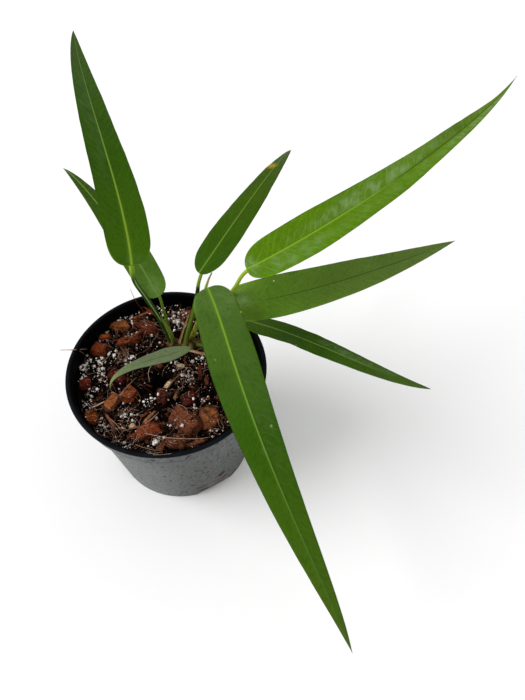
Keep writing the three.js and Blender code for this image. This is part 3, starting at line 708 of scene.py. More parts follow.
# Fibres that show one by one: the points that each passes, radius, and colour from dark 0 to pale 1
looseFibres = [
    ([(-67.7, 8.7, 90.6), (-60.7, 10, 89.4), (-55, 16.4, 81.6)], 0.28, 0.75),
    ([(-61.7, 9.5, 89.2), (-58.7, 11.5, 87), (-55.6, 12.5, 81)], 0.2, 0.6),
    ([(-29.7, 50.4, 100), (-29.1, 51, 92), (-27, 49.7, 86), (-23.3, 47.2, 81.3)], 0.16, 0.3),
    ([(-41, 12.4, 79.8), (-43.8, 6.6, 81.5), (-47.2, 2, 79.3)], 0.2, 0.85),
    ([(-21.9, -3.3, 80.1), (-26, -12.1, 82.9), (-29.8, -17.4, 81.4)], 0.2, 0.8),
    ([(-7.1, 8.9, 79.2), (-11.8, 7.3, 81), (-14.8, 1.3, 81), (-13.6, -5.9, 79.6)], 0.17, 1),
    ([(9.3, 4.3, 80.5), (4.1, -2.3, 82.2), (-0.5, -6, 78.9)], 0.25, 0.7),
    ([(-11.7, -41.7, 81.4), (-2.5, -44.6, 83.3), (7.8, -46.1, 84), (20.6, -45.5, 83.2),
      (28.1, -42.2, 80.2)], 0.22, 0.8),
    ([(-8, -56.2, 87.4), (-6, -57.6, 88.2), (-1.6, -57.2, 88.2), (1.4, -56.3, 87.6)], 0.07, 1),
    ([(-7, -55.6, 86), (-3.6, -58.3, 88.2), (3.8, -57.8, 88.2), (10.5, -56.4, 87.4)], 0.06, 1),
    ([(-35.9, -29.4, 78.4), (-30.5, -34.1, 80.4), (-25.6, -38.4, 78.3)], 0.25, 0.7),
    ([(-12.9, -34.2, 78.7), (-8.6, -32.3, 81.4), (-5.7, -26.6, 79.1)], 0.3, 0.75),
    ([(-41.8, -36.5, 78), (-38.4, -41.4, 78.9), (-33.2, -43.1, 78)], 0.2, 0.6),
    ([(-36, 21.1, 80.2), (-29.5, 10.8, 81.9), (-32.4, 7.8, 79.8)], 0.18, 0.6),
    ([(-45.4, -23.8, 78.4), (-41.5, -22.8, 80), (-37.5, -19.4, 79.2)], 0.5, 0.9),
    ([(-25.4, -39.9, 79.2), (-15.1, -38.5, 82.8), (-10.3, -41.2, 82.4)], 0.18, 0.6),
    ([(-44.6, -5.5, 78.1), (-39.6, -6, 80.1), (-38.9, -10, 78)], 0.2, 0.5),
    ([(-14, 41.3, 79.8), (-8, 44.1, 82.5), (-1, 43.5, 80.7)], 0.18, 0.5),
    ([(-16.7, -47.1, 78.2), (-10.7, -50.1, 79.7), (-1.6, -51.2, 78.3)], 0.2, 0.7),
    ([(15.4, -47.4, 78.8), (17.4, -50.9, 80.7), (23.4, -48, 78.9)], 0.2, 0.6),
]

# Loose bits on the mix: place, height of the middle over it, size, turn and dip in degrees, colour
flakes = asDicts("x y over length width height turn dip tint", [
    (-3.5, -6.6, 2.2, 9.5, 2.8, 1.5, 57, -14, (206, 178, 136)),
    (4.5, 5, 2.6, 5.5, 3, 1.5, 8, 6, (216, 186, 156)),
    (-20.2, -36, 2, 3.6, 2.8, 2.2, 20, 0, (186, 152, 116)),
    (3.3, -14, 1.6, 6, 2, 1.4, 75, -10, (112, 80, 48)),
    (16.4, 2.2, 1.8, 10, 2.8, 1.2, -82, 6, (88, 34, 22)),
    (-32.8, -33, 2.4, 12, 1.7, 0.9, -52, 5, (122, 72, 46)),
    (-10.5, -30, 3, 11, 1.5, 0.9, 48, -8, (138, 88, 58)),
    (-1.5, -48, 2.2, 7, 3.6, 1.2, 62, -16, (98, 48, 26)),
    (8.6, -46.5, 2.4, 8.5, 2.8, 1.2, -68, 14, (104, 56, 30)),
    (17.5, -46, 2, 12, 2.6, 1.2, 18, -8, (100, 52, 30)),
    (-10.5, 8.4, 1.4, 7, 3, 1.2, -40, 0, (92, 44, 28)),
    (-2.6, 14.2, 2.2, 4.5, 2.2, 1.4, 35, 0, (108, 92, 32)),
    (-24, 52.5, 2.4, 13, 1.3, 0.9, -42, 12, (104, 48, 26)),
    (-24.5, 40.5, 4.2, 13, 1.5, 0.9, 26, -6, (124, 62, 32)),
    (-33, 21.8, 3.6, 10, 1.9, 1.2, 13, -4, (104, 48, 24)),
    (-24.5, 26.3, 4.2, 12, 1.6, 1, 38, -10, (96, 44, 24)),
    (-46, 26.6, 2.4, 7, 3.4, 2, 12, 0, (150, 64, 16)),
    (-17.6, 45.8, 3.2, 12, 1.4, 0.9, -38, 8, (118, 44, 20)),
])
# Tangles of fibre: middle, spread, strands, heading and its spread in degrees, colour from dark 0 to pale 1
tangles = asDicts("x y spread count heading fan tint", [
    (-34, 13, 5.5, 42, 70, 40, 0.5),
    (-31, -39, 7, 48, -20, 45, 0.55),
    (-24, -27, 7, 26, 50, 60, 0.6),
    (8, -46, 8, 34, 5, 40, 0.6),
    (-14, 29, 4.5, 16, 40, 90, 0.45),
    (-2, 42, 8, 40, 0, 60, 0.35),
    (6, -3, 7, 30, 60, 60, 0.55),
    (-27, 44, 5, 30, -35, 35, 0.05),
    (-30, 29, 7, 30, 20, 35, 0.05),
    (16, 16, 6, 36, 20, 70, 0.5),
    (-44, -20, 5, 26, 40, 60, 0.5),
    (-40, -28, 6, 34, 110, 50, 0.6),
    (-8, -46, 8, 34, 10, 40, 0.5),
    (30, -34, 6, 20, 30, 60, 0.5),
])

# What is strewn by seeded draws: number, how far in from the wall it stays, radii or half sizes
strewForm = {
    "perlite": {"seed": 5, "count": 180, "inset": 1, "shapes": 9, "least": 0.3, "more": 0.75},
    "dust": {"seed": 6, "count": 700, "inset": 1.4, "shapes": 5, "least": 0.1, "most": 0.24},
    "crumbs": {"seed": 8, "count": 5600, "inset": 1, "shapes": 9, "least": 0.22, "more": 0.6},
    "shreds": {"seed": 12, "count": 170, "inset": 4,
               "length": (0.9, 3.4), "width": (0.3, 1), "height": (0.2, 0.5)},
    "fibres": {"seed": 17, "count": 380, "inset": 2, "length": (3, 15), "radius": (0.05, 0.11),
               "steps": 5, "wander": 0.34, "arch": (0.2, 2.4)},
}
# Steps that a husk form is cut into, how sharp its edges are, how lumpy it is
huskForm = {
    "chip": {"steps": 24, "sharp": 14, "lumpy": 0.5, "knock": 0.4, "breaks": 7, "breakReach": (0.62, 0.86)},
    "flake": {"steps": 8, "sharp": 9, "lumpy": 0.8, "knock": 0.3},
    "shred": {"steps": 4, "sharp": 8, "lumpy": 0.8},
}


def mixHeight(x, y):
    form = mixForm
    lumps = np.sin(x * 0.21 + 1) * np.cos(y * 0.17) + 0.6 * np.sin(x * 0.43 + y * 0.38)
    east, north = x - form["hollowPlace"][0], y - form["hollowPlace"][1]
    away = (east ** 2 + north ** 2) / form["hollowRadius"] ** 2
    level = form["level"] + form["riseX"] * x + form["riseY"] * y
    return level + form["roughness"] * lumps - form["hollowDepth"] * np.exp(-away)


def chipLift(x, y):                                # how far a chip's top stands over the mix at a place
    lift = 0
    for chip in chips:
        turn = math.radians(chip["turn"])
        east, north = x - chip["x"], y - chip["y"]
        along = east * math.cos(turn) + north * math.sin(turn)
        across = north * math.cos(turn) - east * math.sin(turn)
        inside = (2 * along / chip["length"]) ** 4 + (2 * across / chip["width"]) ** 4
        if inside < 0.8:
            level = mixHeight(chip["x"], chip["y"]) - mixHeight(x, y)
            lift = max(lift, level + 0.6 * chip["height"])
    return lift


def makeMixBed(finish):
    form = mixForm
    gap = form["gap"]
    wallTop = potForm["height"] - potForm["collarDepth"]
    ledge = wallTop + potForm["collarStep"] + gap
    edge = innerRadius(form["level"]) - gap
    low = potForm["floorThickness"] + gap
    bend = low + potForm["floorRound"]
    side = [
        (innerRadius(low) - potForm["floorRound"] - gap, low),
        (innerRadius(bend) - gap, bend),
        (innerRadius(wallTop) - gap, wallTop + gap),
        (edge, ledge),
    ]
    topRows = [(edge * (1 - ring / form["rings"]), form["level"]) for ring in range(form["rings"])]
    points, faces = lathe(side + topRows, form["segments"])
    top = slice(len(side) * form["segments"], len(points))
    x, y = points[top, 0], points[top, 1]
    spread = np.column_stack([x, y, np.zeros(len(x))])
    coarse = lumpiness(spread, 5, 2, 4)
    fine = lumpiness(spread, 1.5, 3, 9)
    fromWall = edge - np.hypot(x - leanAt(form["level"]), y)
    inside = np.clip(fromWall / 2, 0, 1)
    height = mixHeight(x, y) - 0.5 + inside * (form["lumpHeight"] * coarse + form["crumbHeight"] * fine)
    points[top, 2] = np.maximum(height, ledge + 0.3 - 3 * np.clip(fromWall - 1.5, 0, 20))
    return addMesh("peatBed", points, faces, [finish], None, "potting_mix", "potting_mix")


boxSigns = [(a, b, c) for a in (-1, 1) for b in (-1, 1) for c in (-1, 1)]
chipSigns = [(1, 1, 1), (1, 1, -1), (1, -1, 1), (1, -1, -1),      # in the order that shaped the solid mix
             (-1, 1, -1), (-1, 1, 1), (-1, -1, -1), (-1, -1, 1)]


def turnAbout(axis, angle):
    return np.array(Matrix.Rotation(angle, 3, axis))


def halfSize(block):
    return np.array([block["length"], block["width"], block["height"]]) / 2


def knocks(draws, reach):                          # three factors about 1 that knock a corner out of place
    return np.array([1 + reach * (next(draws) - 0.5) for axis in range(3)])


def chipCorners(chip, draws):                      # the eight corners of a split block, knocked about
    half, knock = halfSize(chip), huskForm["chip"]["knock"]
    corners = {sign: np.array(sign) * half * knocks(draws, knock) for sign in chipSigns}
    tips = [0.3 * (next(draws) - 0.5) for axis in "XY"]
    turn = turnAbout("Z", math.radians(chip["turn"])) @ turnAbout("Y", tips[1]) @ turnAbout("X", tips[0])
    return corners, turn


def cubeGrid(steps):                               # a cube from -1 to 1 with each side cut into small squares
    cube = bmesh.new()
    bmesh.ops.create_cube(cube, size=2)
    bmesh.ops.subdivide_edges(cube, edges=cube.edges[:], cuts=steps - 1, use_grid_fill=True)
    points = np.array([vertex.co[:] for vertex in cube.verts])
    faces = [tuple(vertex.index for vertex in face.verts) for face in cube.faces]
    cube.free()
    return points, faces


def huskPoints(form, grid, corners, rough, shift):
    sharp = form["sharp"]
    soft = grid / (np.abs(grid) ** sharp).sum(axis=1, keepdims=True) ** (1 / sharp)
    placed = np.zeros_like(soft)
    for sign, corner in corners.items():
        share = np.prod((1 + soft * np.array(sign)) / 2, axis=1, keepdims=True)
        placed += share * corner
    fibres = lumpiness(placed * np.array([0.22, 1, 1]), 1.1, 3, shift)
    lumps = lumpiness(placed, 4.5, 4, shift + 5)
    towardsEnd = np.clip(np.abs(soft[:, 0]) * 2 - 1, 0, 1)
    frayed = lumpiness(placed * np.array([0, 1, 1]), 0.9, 2, shift + 9) * towardsEnd
    moved = placed + unit(placed) * (0.3 * rough * fibres + form["lumpy"] * lumps)[:, None]
    moved[:, 0] += 1.6 * rough * frayed * np.sign(soft[:, 0])
    return moved


def breakFaces(form, random, points):              # flattens a form where random planes cut it
    for normal in unit(random.normal(size=(form["breaks"], 3))):
        reach = points @ normal
        limit = random.uniform(*form["breakReach"]) * reach.max()
        points = points - normal * np.maximum(reach - limit, 0)[:, None]
    return points


def makeChips(finish):
    random = np.random.default_rng(21)
    heap = Heap()
    values = {"red": [], "green": [], "blue": [], "lengthwise": [], "low": [], "rim": []}
    draws = seededRandom(23)

    def lay(piece, points, turn, height):
        place = np.array([piece["x"], piece["y"], mixHeight(piece["x"], piece["y"]) + height])
        heap.put(insideWall(points @ turn.T + place), faces, heap.total % 97 / 97)
        for key, level in zip(("red", "green", "blue"), rgb(*piece["tint"])):
            values[key].append(np.full(len(points), level))
        values["lengthwise"].append(points[:, 0])
        values["low"].append(points[:, 2] / points[:, 2].min())
        values["rim"].append(np.sort(np.abs(grid), axis=1)[:, 1])

    form = huskForm["chip"]
    grid, faces = cubeGrid(form["steps"])
    for number, chip in enumerate(chips):
        corners, turn = chipCorners(chip, draws)
        points = huskPoints(form, grid, corners, chip["rough"], 11.0 * number)
        lay(chip, breakFaces(form, random, points), turn, 0.12 * chip["height"])
    form = huskForm["flake"]
    grid, faces = cubeGrid(form["steps"])
    for number, flake in enumerate(flakes):
        half = halfSize(flake)
        corners = {sign: np.array(sign) * half * knocks(draws, form["knock"]) for sign in boxSigns}
        points = huskPoints(form, grid, corners, 0.35, 7.0 * number)
        points[:, 2] += 0.35 * np.cos(points[:, 0] / half[0] * 1.4)
        turn = turnAbout("Z", math.radians(flake["turn"])) @ turnAbout("Y", math.radians(flake["dip"]))
        lay(flake, points, turn, chipLift(flake["x"], flake["y"]) + flake["over"])
    values = {key: np.concatenate(parts) for key, parts in values.items()}
    return heap.finish("huskChips", [finish], "potting_mix", None, values)


def strewing(kind):                                # values, draws, heap and outer circle for one kind of bit
    form = strewForm[kind]
    return form, np.random.default_rng(form["seed"]), Heap(), innerRadius(mixForm["level"]) - form["inset"]


def strewn(random, count, radius):                 # places strewn evenly inside a circle round the middle
    reach = radius * np.sqrt(random.random(count))
    angle = random.random(count) * 2 * np.pi
    return np.column_stack([leanAt(mixForm["level"]) + reach * np.cos(angle), reach * np.sin(angle)])


def keptInside(x, y, radius):                      # a place moved in to that circle if it lies outside
    middle = leanAt(mixForm["level"])
    share = min(radius / max(math.hypot(x - middle, y), 0.001), 1)
    return middle + (x - middle) * share, y * share


def insideWall(points):                            # drawn in softly where they would pass the pot's wall
    east, north, z = points.T
    east = east - leanAt(z)
    limit = innerRadius(z) - mixForm["gap"]
    radius = np.maximum(np.hypot(east, north), 0.001)
    ease = 2
    pressed = limit - ease * np.exp((limit - ease - radius) / ease)
    share = np.where(radius > limit - ease, pressed / radius, 1)
    return np.column_stack([east * share + leanAt(z), north * share, z])


def overHollow(x, y, share):                       # whether a place lies in the open hollow
    east, north = x - mixForm["hollowPlace"][0], y - mixForm["hollowPlace"][1]
    return math.hypot(east, north) < share * mixForm["hollowRadius"]


def makePerlite(finish):
    form, random, heap, edge = strewing("perlite")
    shapes = grainShapes(form["shapes"], 2, 0.55)
    places = []
    for x, y, spread, count in perliteDrifts:
        places += [(x + dx, y + dy) for dx, dy in random.normal(0, 0.55 * spread, (round(0.85 * count), 2))]
    places += strewn(random, form["count"], edge).tolist()
    places = [(x, y) for x, y in places
              if not overHollow(x, y, 1) and (chipLift(x, y) < 1 or random.random() < 0.35)]
    settled = np.full((1, 2), 1000.0)
    for number, (x, y) in enumerate(places):
        x, y = keptInside(x, y, edge)
        radius = form["least"] + form["more"] * random.random() ** 3
        if np.hypot(*(settled - (x, y)).T).min() < 1.15 * radius:
            continue
        settled = np.vstack([settled, (x, y)])
        points, faces = shapes[number % len(shapes)]
        lift = mixHeight(x, y) + chipLift(x, y) + radius * random.uniform(0.1, 1.3)
        stretch = random.uniform(0.75, 1.25, 3)
        turned = (points * stretch) @ randomTurn(random).T
        heap.put(turned * radius + np.array([x, y, lift]), faces, random.random())
    return heap.finish("perliteGrains", [finish], "potting_mix")


def makeDust(finish):                              # the finest perlite, on everything
    form, random, heap, edge = strewing("dust")
    shapes = grainShapes(form["shapes"], 1, 0.3)
    for number, (x, y) in enumerate(strewn(random, form["count"], edge)):
        radius = random.uniform(form["least"], form["most"])
        points, faces = shapes[number % len(shapes)]
        lift = mixHeight(x, y) + chipLift(x, y) + random.uniform(0.1, 1.1)
        if overHollow(x, y, 0.9) or chipLift(x, y) > 0 and number % 3:
            continue
        heap.put(points * radius + np.array([x, y, lift]), faces, random.random())
    return heap.finish("perliteDust", [finish], "potting_mix")


def makeCrumbs(finish):
    form, random, heap, edge = strewing("crumbs")
    shapes = grainShapes(form["shapes"], 1, 0.6)
    for number, (x, y) in enumerate(strewn(random, form["count"], edge)):
        size = form["least"] + form["more"] * random.random() ** 2.2
        points, faces = shapes[number % len(shapes)]
        lift = mixHeight(x, y) + random.uniform(-0.3, 0.9)
        stretch = random.uniform(0.6, 1.5, 3)
        turned = (points * stretch) @ randomTurn(random).T
        tint = random.random()
        # crumbs in the hollow take the darkest peat colour: painted shade in the recess
        heap.put(turned * size + np.array([x, y, lift]), faces, 0 if overHollow(x, y, 1) else tint)
    return heap.finish("peatCrumbs", [finish], "potting_mix")


def makeShreds(finish):                            # small split flakes of husk
    form, random, heap, edge = strewing("shreds")
    grid, faces = cubeGrid(huskForm["shred"]["steps"])
    lengthwise = []
    for number, (x, y) in enumerate(strewn(random, form["count"], edge)):
        half = np.array([random.uniform(*form[side]) for side in ("length", "width", "height")])
        corners = {sign: np.array(sign) * half * random.uniform(0.6, 1.2, 3) for sign in boxSigns}
        points = huskPoints(huskForm["shred"], grid, corners, 0.4, 3.0 * number) * np.array([1, 1, 0.8])
        lean = turnAbout("X", random.uniform(-0.5, 0.5)) @ turnAbout("Y", random.uniform(-0.4, 0.4))
        turn = turnAbout("Z", random.uniform(0, 2 * math.pi)) @ lean
        lift = mixHeight(x, y) + chipLift(x, y) + random.uniform(0.2, 1)
        tint = random.random()
        if overHollow(x, y, 0.85):
            continue
        lengthwise.append(points[:, 0])
        heap.put(insideWall(points @ turn.T + np.array([x, y, lift])), faces, tint)
    lengthwise = np.concatenate(lengthwise)
    values = {"lengthwise": lengthwise, "low": np.zeros(len(lengthwise)), "rim": np.zeros(len(lengthwise))}
    return heap.finish("huskShreds", [finish], "potting_mix", None, values)


def groundFibre(random, x, y, length, heading):    # a thin strand that lies on the mix and bends a little
    form = strewForm["fibres"]
    steps = form["steps"]
    route = []
    for step in range(steps):
        route.append((x, y))
        x += length / steps * math.cos(heading)
        y += length / steps * math.sin(heading)
        heading += random.normal(0, form["wander"])
    limit = innerRadius(mixForm["level"]) - 1.2
    line = []
    arch = random.uniform(*form["arch"])
    for step, (x, y) in enumerate(route):
        x, y = keptInside(x, y, limit)
        rise = arch * math.sin(math.pi * step / (steps - 1)) + random.uniform(0, 0.7)
        line.append((x, y, mixHeight(x, y) + chipLift(x, y) * 0.9 + 0.4 + rise))
    return line


def makeFibres(finish):
    form, random, heap, edge = strewing("fibres")
    strands = list(looseFibres)
    for x, y in strewn(random, form["count"], edge):
        line = groundFibre(random, x, y, random.uniform(*form["length"]), random.uniform(0, 2 * math.pi))
        radius, tint = random.uniform(*form["radius"]), random.random()
        if not overHollow(*line[2][:2], 1.1):
            strands.append((line, radius, tint))
    for tangle in tangles:
        for strand in range(tangle["count"]):
            dx, dy = random.normal(0, 0.6 * tangle["spread"], 2)
            heading = math.radians(tangle["heading"] + random.normal(0, tangle["fan"]))
            line = groundFibre(random, tangle["x"] + dx, tangle["y"] + dy, random.uniform(2.5, 11), heading)
            tint = np.clip(tangle["tint"] + random.normal(0.08, 0.3), 0, 1)
            radius = random.uniform(0.06, 0.11)
            onChip = chipLift(*line[2][:2]) > 0
            if not overHollow(*line[2][:2], 1.1) and not (onChip and strand % 3):
                strands.append((line, radius, tint))
    for chip in chips:                             # strands that stand off the fibrous chips
        turn = math.radians(chip["turn"])
        along = np.array([math.cos(turn), math.sin(turn), 0])
        across = np.array([-math.sin(turn), math.cos(turn), 0])
        middle = np.array([chip["x"], chip["y"], mixHeight(chip["x"], chip["y"]) + 0.6 * chip["height"]])
        for strand in range(int(26 * max(chip["rough"] - 0.7, 0) + 1)):
            start = random.uniform(-0.6, 0.1) * chip["length"]
            reach = random.uniform(0.3, 0.65) * chip["length"]
            aside = random.uniform(-0.45, 0.45) * chip["width"]
            lift = random.uniform(-0.3, 0.9)
            line = [middle + along * (start + reach * share) + across * (aside + random.normal(0, 0.3))
                    + np.array([0, 0, lift + random.normal(0, 0.25)]) for share in (0, 0.35, 0.7, 1)]
            radius, tint = random.uniform(0.06, 0.15), random.uniform(0.15, 0.8)
            strands.append((insideWall(np.array(line)), radius, tint))
    rows = 9
    taper = 0.45 + 0.55 * np.sin(np.pi * np.linspace(0.08, 0.92, rows)) ** 0.6
    for route, radius, tint in strands:
        line = curveThrough(route, np.linspace(0, 1, rows))
        points, faces, values = tube(line, radius * taper, 4)
        heap.put(points, faces, tint)
    return heap.finish("coirFibres", [finish], "potting_mix")


def peatFinish(look):
    finish = Finish("peat", Roughness=0.95, Specular_IOR_Level=0.05)
    coarse = finish.noise(190, 4)
    fine = finish.noise(1000, 3)
    finish.colour = finish.blend(look["peat"], look["peatRed"], coarse.rise(0.52, 0.72))
    finish.lay(look["peatPale"], fine.rise(0.62, 0.78) * 0.5)
    x, y, z = finish.axes()
    east = (x * 1000 - mixForm["hollowPlace"][0]) / mixForm["hollowRadius"]
    north = (y * 1000 - mixForm["hollowPlace"][1]) / mixForm["hollowRadius"]
    hollow = 1 - (east * east + north * north).rise(0.4, 1.1)
    # near-black down in the hollow: painted shade in the recess
    finish.lay((3, 2, 2), hollow)
    finish.feed("Base Color", finish.colour)
    finish.bump(fine + coarse, 0.8, 0.0006)
    return finish


def crumbFinish(look):
    finish = Finish("peatCrumb", Roughness=0.95, Specular_IOR_Level=0.05)
    tint = finish.value("tint")
    fine = finish.noise(1300, 3)
    finish.colour = finish.blend(look["peat"], look["peatRed"], tint.rise(0.5, 0.85))
    finish.lay(look["peatPale"], tint.rise(0.84, 0.98) * fine.rise(0.35, 0.55))
    finish.feed("Base Color", finish.colour)
    finish.bump(fine, 0.7, 0.0004)
    return finish


def perliteFinish(look):
    finish = Finish("perlite", Roughness=0.85, Specular_IOR_Level=0.15)
    pits = finish.noise(1900, 3)
    dusty = finish.noise(420, 3).rise(0.5, 0.7) * 0.5 + finish.value("tint").rise(0.5, 1) * 0.6
    finish.colour = finish.blend(look["perlite"], look["perliteDull"], dusty)
    finish.lay(look["peatPale"], pits.rise(0.6, 0.72) * 0.55)
    finish.feed("Base Color", finish.colour)
    finish.bump(pits, 0.6, 0.0003)
    return finish


def huskFinish(name, ownColours):
    finish = Finish(name, Roughness=0.6, Specular_IOR_Level=0.1)
    tint = finish.value("tint")
    if ownColours:
        levels = {0: finish.value("red"), 1: finish.value("green"), 2: finish.value("blue")}
        base = finish.add("ShaderNodeCombineColor", {}, levels)
    else:
        base = finish.blend((42, 16, 10), (98, 50, 28), tint)
    streakPlace = finish.vector(finish.value("lengthwise") * 0.18, tint * 40)
    streakPlace = finish.add("ShaderNodeVectorMath", {"operation": "MULTIPLY_ADD"},
                             {0: finish.place, 1: (900, 900, 900), 2: streakPlace})
    streak = finish.noise(1, 3, at=streakPlace)
    cloud = finish.noise(260, 4)
    fine = finish.noise(1100, 3)
    finish.colour = finish.blend(base, finish.scaled(base, 0.25), cloud.rise(0.48, 0.66) * 0.7)
    finish.lay(finish.scaled(base, 2.3), streak.rise(0.54, 0.7) * 0.6)
    finish.lay(finish.scaled(base, 0.2), (1 - fine.rise(0.36, 0.48)) * 0.6)
    # pale flecks: painted highlights
    finish.lay((214, 150, 96), fine.rise(0.6, 0.7) * 0.35)
    # darker towards each chip's edges, broken up by the cloud
    darkPatches = (finish.value("rim") + (cloud - 0.5) * 0.9).rise(0.62, 1)
    finish.lay((24, 8, 4), darkPatches * 0.75)
    # darker on the lower part of each chip: painted shade where it sits in the mix
    finish.lay((20, 8, 5), finish.value("low").rise(-0.1, 0.7) * 0.85)
    # small pale dots: perlite dust, and painted glints of wet husk
    finish.lay((226, 208, 190), finish.noise(1300, 1).rise(0.75, 0.78) * 0.6)
    finish.feed("Base Color", finish.colour)
    finish.feed("Roughness", 0.42 + cloud * 0.35)
    finish.bump(streak + cloud, 0.8, 0.0006)
    return finish


def fibreFinish(look):
    finish = Finish("coirFibre", Roughness=0.8, Specular_IOR_Level=0.15)
    tint = finish.value("tint")
    stops = [(0, look["fibreDark"]), (0.5, look["fibre"]), (1, look["fibrePale"])]
    finish.colour = finish.ramp(tint, stops)
    darkPatches = finish.noise(500, 2).rise(0.4, 0.65)
    finish.lay(look["fibreDark"], darkPatches * 0.4)
    finish.feed("Base Color", finish.colour)
    return finish


makeMixBed(peatFinish(mixLook))
makeChips(huskFinish("huskChip", True))
perlite = perliteFinish(mixLook)
makePerlite(perlite)
makeDust(perlite)
makeCrumbs(crumbFinish(mixLook))
makeShreds(huskFinish("huskShred", False))
makeFibres(fibreFinish(mixLook))
print("potting mix made")


# Leaves. Angles in degrees: heading about the upright from +X, pitch above the level, roll about the midrib.
# swing, droop and twist are the change of each from base to tip. bend is added near the base, sweep and hook
# near the tip. A ripple lifts one margin: place along the blade, side, reach along it, height.

leaves = [
    {
        "base": (-14.3, 14.5, 158.4), "heading": 112.1, "bend": -16.3, "swing": 0, "sweep": -9.3,
        "pitch": 49.1, "droop": 42.8, "hook": -3, "roll": 32.2, "twist": -2.7,
        "length": 138.3, "width": 26.8, "fold": 4.7, "belly": 0.19, "taper": 0.84, "ease": 1.37,
        "round": 0.1, "blunt": 2.57, "rib": 0.3, "stalkRadii": (1.95, 1.25),
        "ripples": [(0.32, 1, 0.09, 0.5), (0.5, -1, 0.1, -0.5)],
        "stalk": [(-3.4, 24.3, 78.5), (-5.3, 24.2, 92), (-8.3, 23.4, 106.4), (-12.9, 20.4, 129),
                  (-15.4, 17.1, 145)],
    },
    {
        "base": (-7, 27.4, 119.5), "heading": 129.4, "bend": -1.6, "swing": 0.9, "sweep": -3.8,
        "pitch": 40.5, "droop": 45.8, "hook": 14.1, "roll": 6, "twist": -0.1,
        "length": 112.3, "width": 19.1, "fold": 10, "belly": 0.22, "taper": 0.98, "ease": 1.17,
        "round": 0.09, "blunt": 2.45, "rib": 0.3, "stalkRadii": (1.05, 0.75),
        "ripples": [(0.6, 1, 0.1, 0.4)],
        "stalk": [(-4.4, 27.9, 78), (-4.5, 29.2, 90), (-5.9, 29.5, 105), (-6.3, 28.5, 117)],
    },
    {
        "base": (18.3, 29.9, 137.1), "heading": 55.3, "bend": -2.7, "swing": 17.2, "sweep": 7.3,
        "pitch": 26.2, "droop": 46.7, "hook": 11.8, "roll": -15.2, "twist": -1.2,
        "length": 131.3, "width": 23.4, "fold": 2.6, "belly": 0.19, "taper": 1.06, "ease": 1.29,
        "round": 0.1, "blunt": 2.06, "rib": 0.3, "stalkRadii": (2.1, 0.85),
        "ripples": [(0.66, 1, 0.07, 0.5), (0.4, -1, 0.1, -0.4)],
        "stalk": [(4.9, 20.4, 79.5), (8.1, 24.5, 92), (12.4, 28.3, 105), (15.8, 28.6, 121),
                  (17.3, 29.1, 130)],
    },
    {
        "base": (45.6, 9.6, 162.2), "heading": 19.3, "bend": -5.7, "swing": 36.6, "sweep": 5.4,
        "pitch": 25.1, "droop": 25.7, "hook": 7.4, "roll": 20.1, "twist": -16.6,
        "length": 205.5, "width": 23.1, "fold": 11.2, "belly": 0.18, "taper": 1.34, "ease": 1.28,
        "round": 0.08, "blunt": 2.51, "rib": -0.2, "stalkRadii": (1.45, 0.95),
        "ripples": [(0.43, -1, 0.06, -1.2), (0.6, -1, 0.08, 0.7), (0.64, 1, 0.08, 1.2),
                    (0.84, 1, 0.07, -1.2)],
        "stalk": [(23.1, 26.5, 78.5), (27, 25.7, 98), (29.8, 23, 114), (33, 20, 126), (39, 16.6, 141),
                  (43.2, 15.2, 152)],
    },
    {
        "base": (36.5, 13, 129.1), "heading": -0.9, "bend": -4.7, "swing": 39.5, "sweep": -3.6,
        "pitch": 19.2, "droop": 25.6, "hook": 3.8, "roll": 12.2, "twist": -0.8,
        "length": 139.5, "width": 26.6, "fold": 10.7, "belly": 0.2, "taper": 1, "ease": 1.42,
        "round": 0.04, "blunt": 2.67, "rib": -0.1, "stalkRadii": (1.6, 1.1),
        "ripples": [(0.5, 1, 0.1, 0.5), (0.55, -1, 0.1, -0.5)],
        "stalk": [(17, 25.5, 78), (19.5, 25.5, 86), (25.9, 22.8, 99), (33, 17.4, 117)],
    },
    {
        "base": (45.1, 23, 103.5), "heading": -32.9, "bend": 2.1, "swing": 4.9, "sweep": 16.1,
        "pitch": 18.1, "droop": 32.4, "hook": -10.3, "roll": -15.2, "twist": 8.7,
        "length": 114.4, "width": 17.7, "fold": 1.6, "belly": 0.23, "taper": 0.79, "ease": 1.42,
        "round": 0.08, "blunt": 2.58, "rib": 0.3, "stalkRadii": (1.35, 0.95),
        "ripples": [(0.12, -1, 0.05, -0.8), (0.3, -1, 0.07, 0.8)],
        "stalk": [(13.5, 22.2, 78.5), (14.5, 19.4, 84), (19, 16.5, 87.5), (26, 17, 94.5), (35.8, 20, 101)],
    },
    {
        "base": (24.4, 13.7, 142.9), "heading": -83.9, "bend": 14.9, "swing": 35.5, "sweep": -4.9,
        "pitch": 10, "droop": 52.4, "hook": 18.4, "roll": 8, "twist": 30.4,
        "length": 206, "width": 25.1, "fold": 12.1, "belly": 0.27, "taper": 1.02, "ease": 1.31,
        "round": 0.09, "blunt": 2.27, "rib": 0.35, "stalkRadii": (2, 1.3),
        "ripples": [(0.35, 1, 0.08, 0.6), (0.5, -1, 0.08, -0.6)],
        "stalk": [(20.5, 21.5, 78), (21, 20.3, 87), (22.3, 20.8, 102), (23.7, 17.5, 124), (23.5, 15, 136)],
    },
    {
        "base": (11.2, 10.4, 93), "heading": 212.7, "bend": 1.4, "swing": -29.6, "sweep": 35.1,
        "pitch": 9.8, "droop": 19.2, "hook": 89, "roll": 8.9, "twist": -8.9,
        "length": 61.6, "width": 11.7, "fold": 7.7, "belly": 0.25, "taper": 1.11, "ease": 1.13,
        "round": 0.25, "blunt": 1.82, "rib": -0.1, "stalkRadii": (1.1, 0.85),
        "ripples": [(0.5, 1, 0.12, 0.3)],
        "stalk": [(9.8, 22.2, 79), (10.4, 17.2, 84.2), (10.9, 13.6, 88)],
    },
]
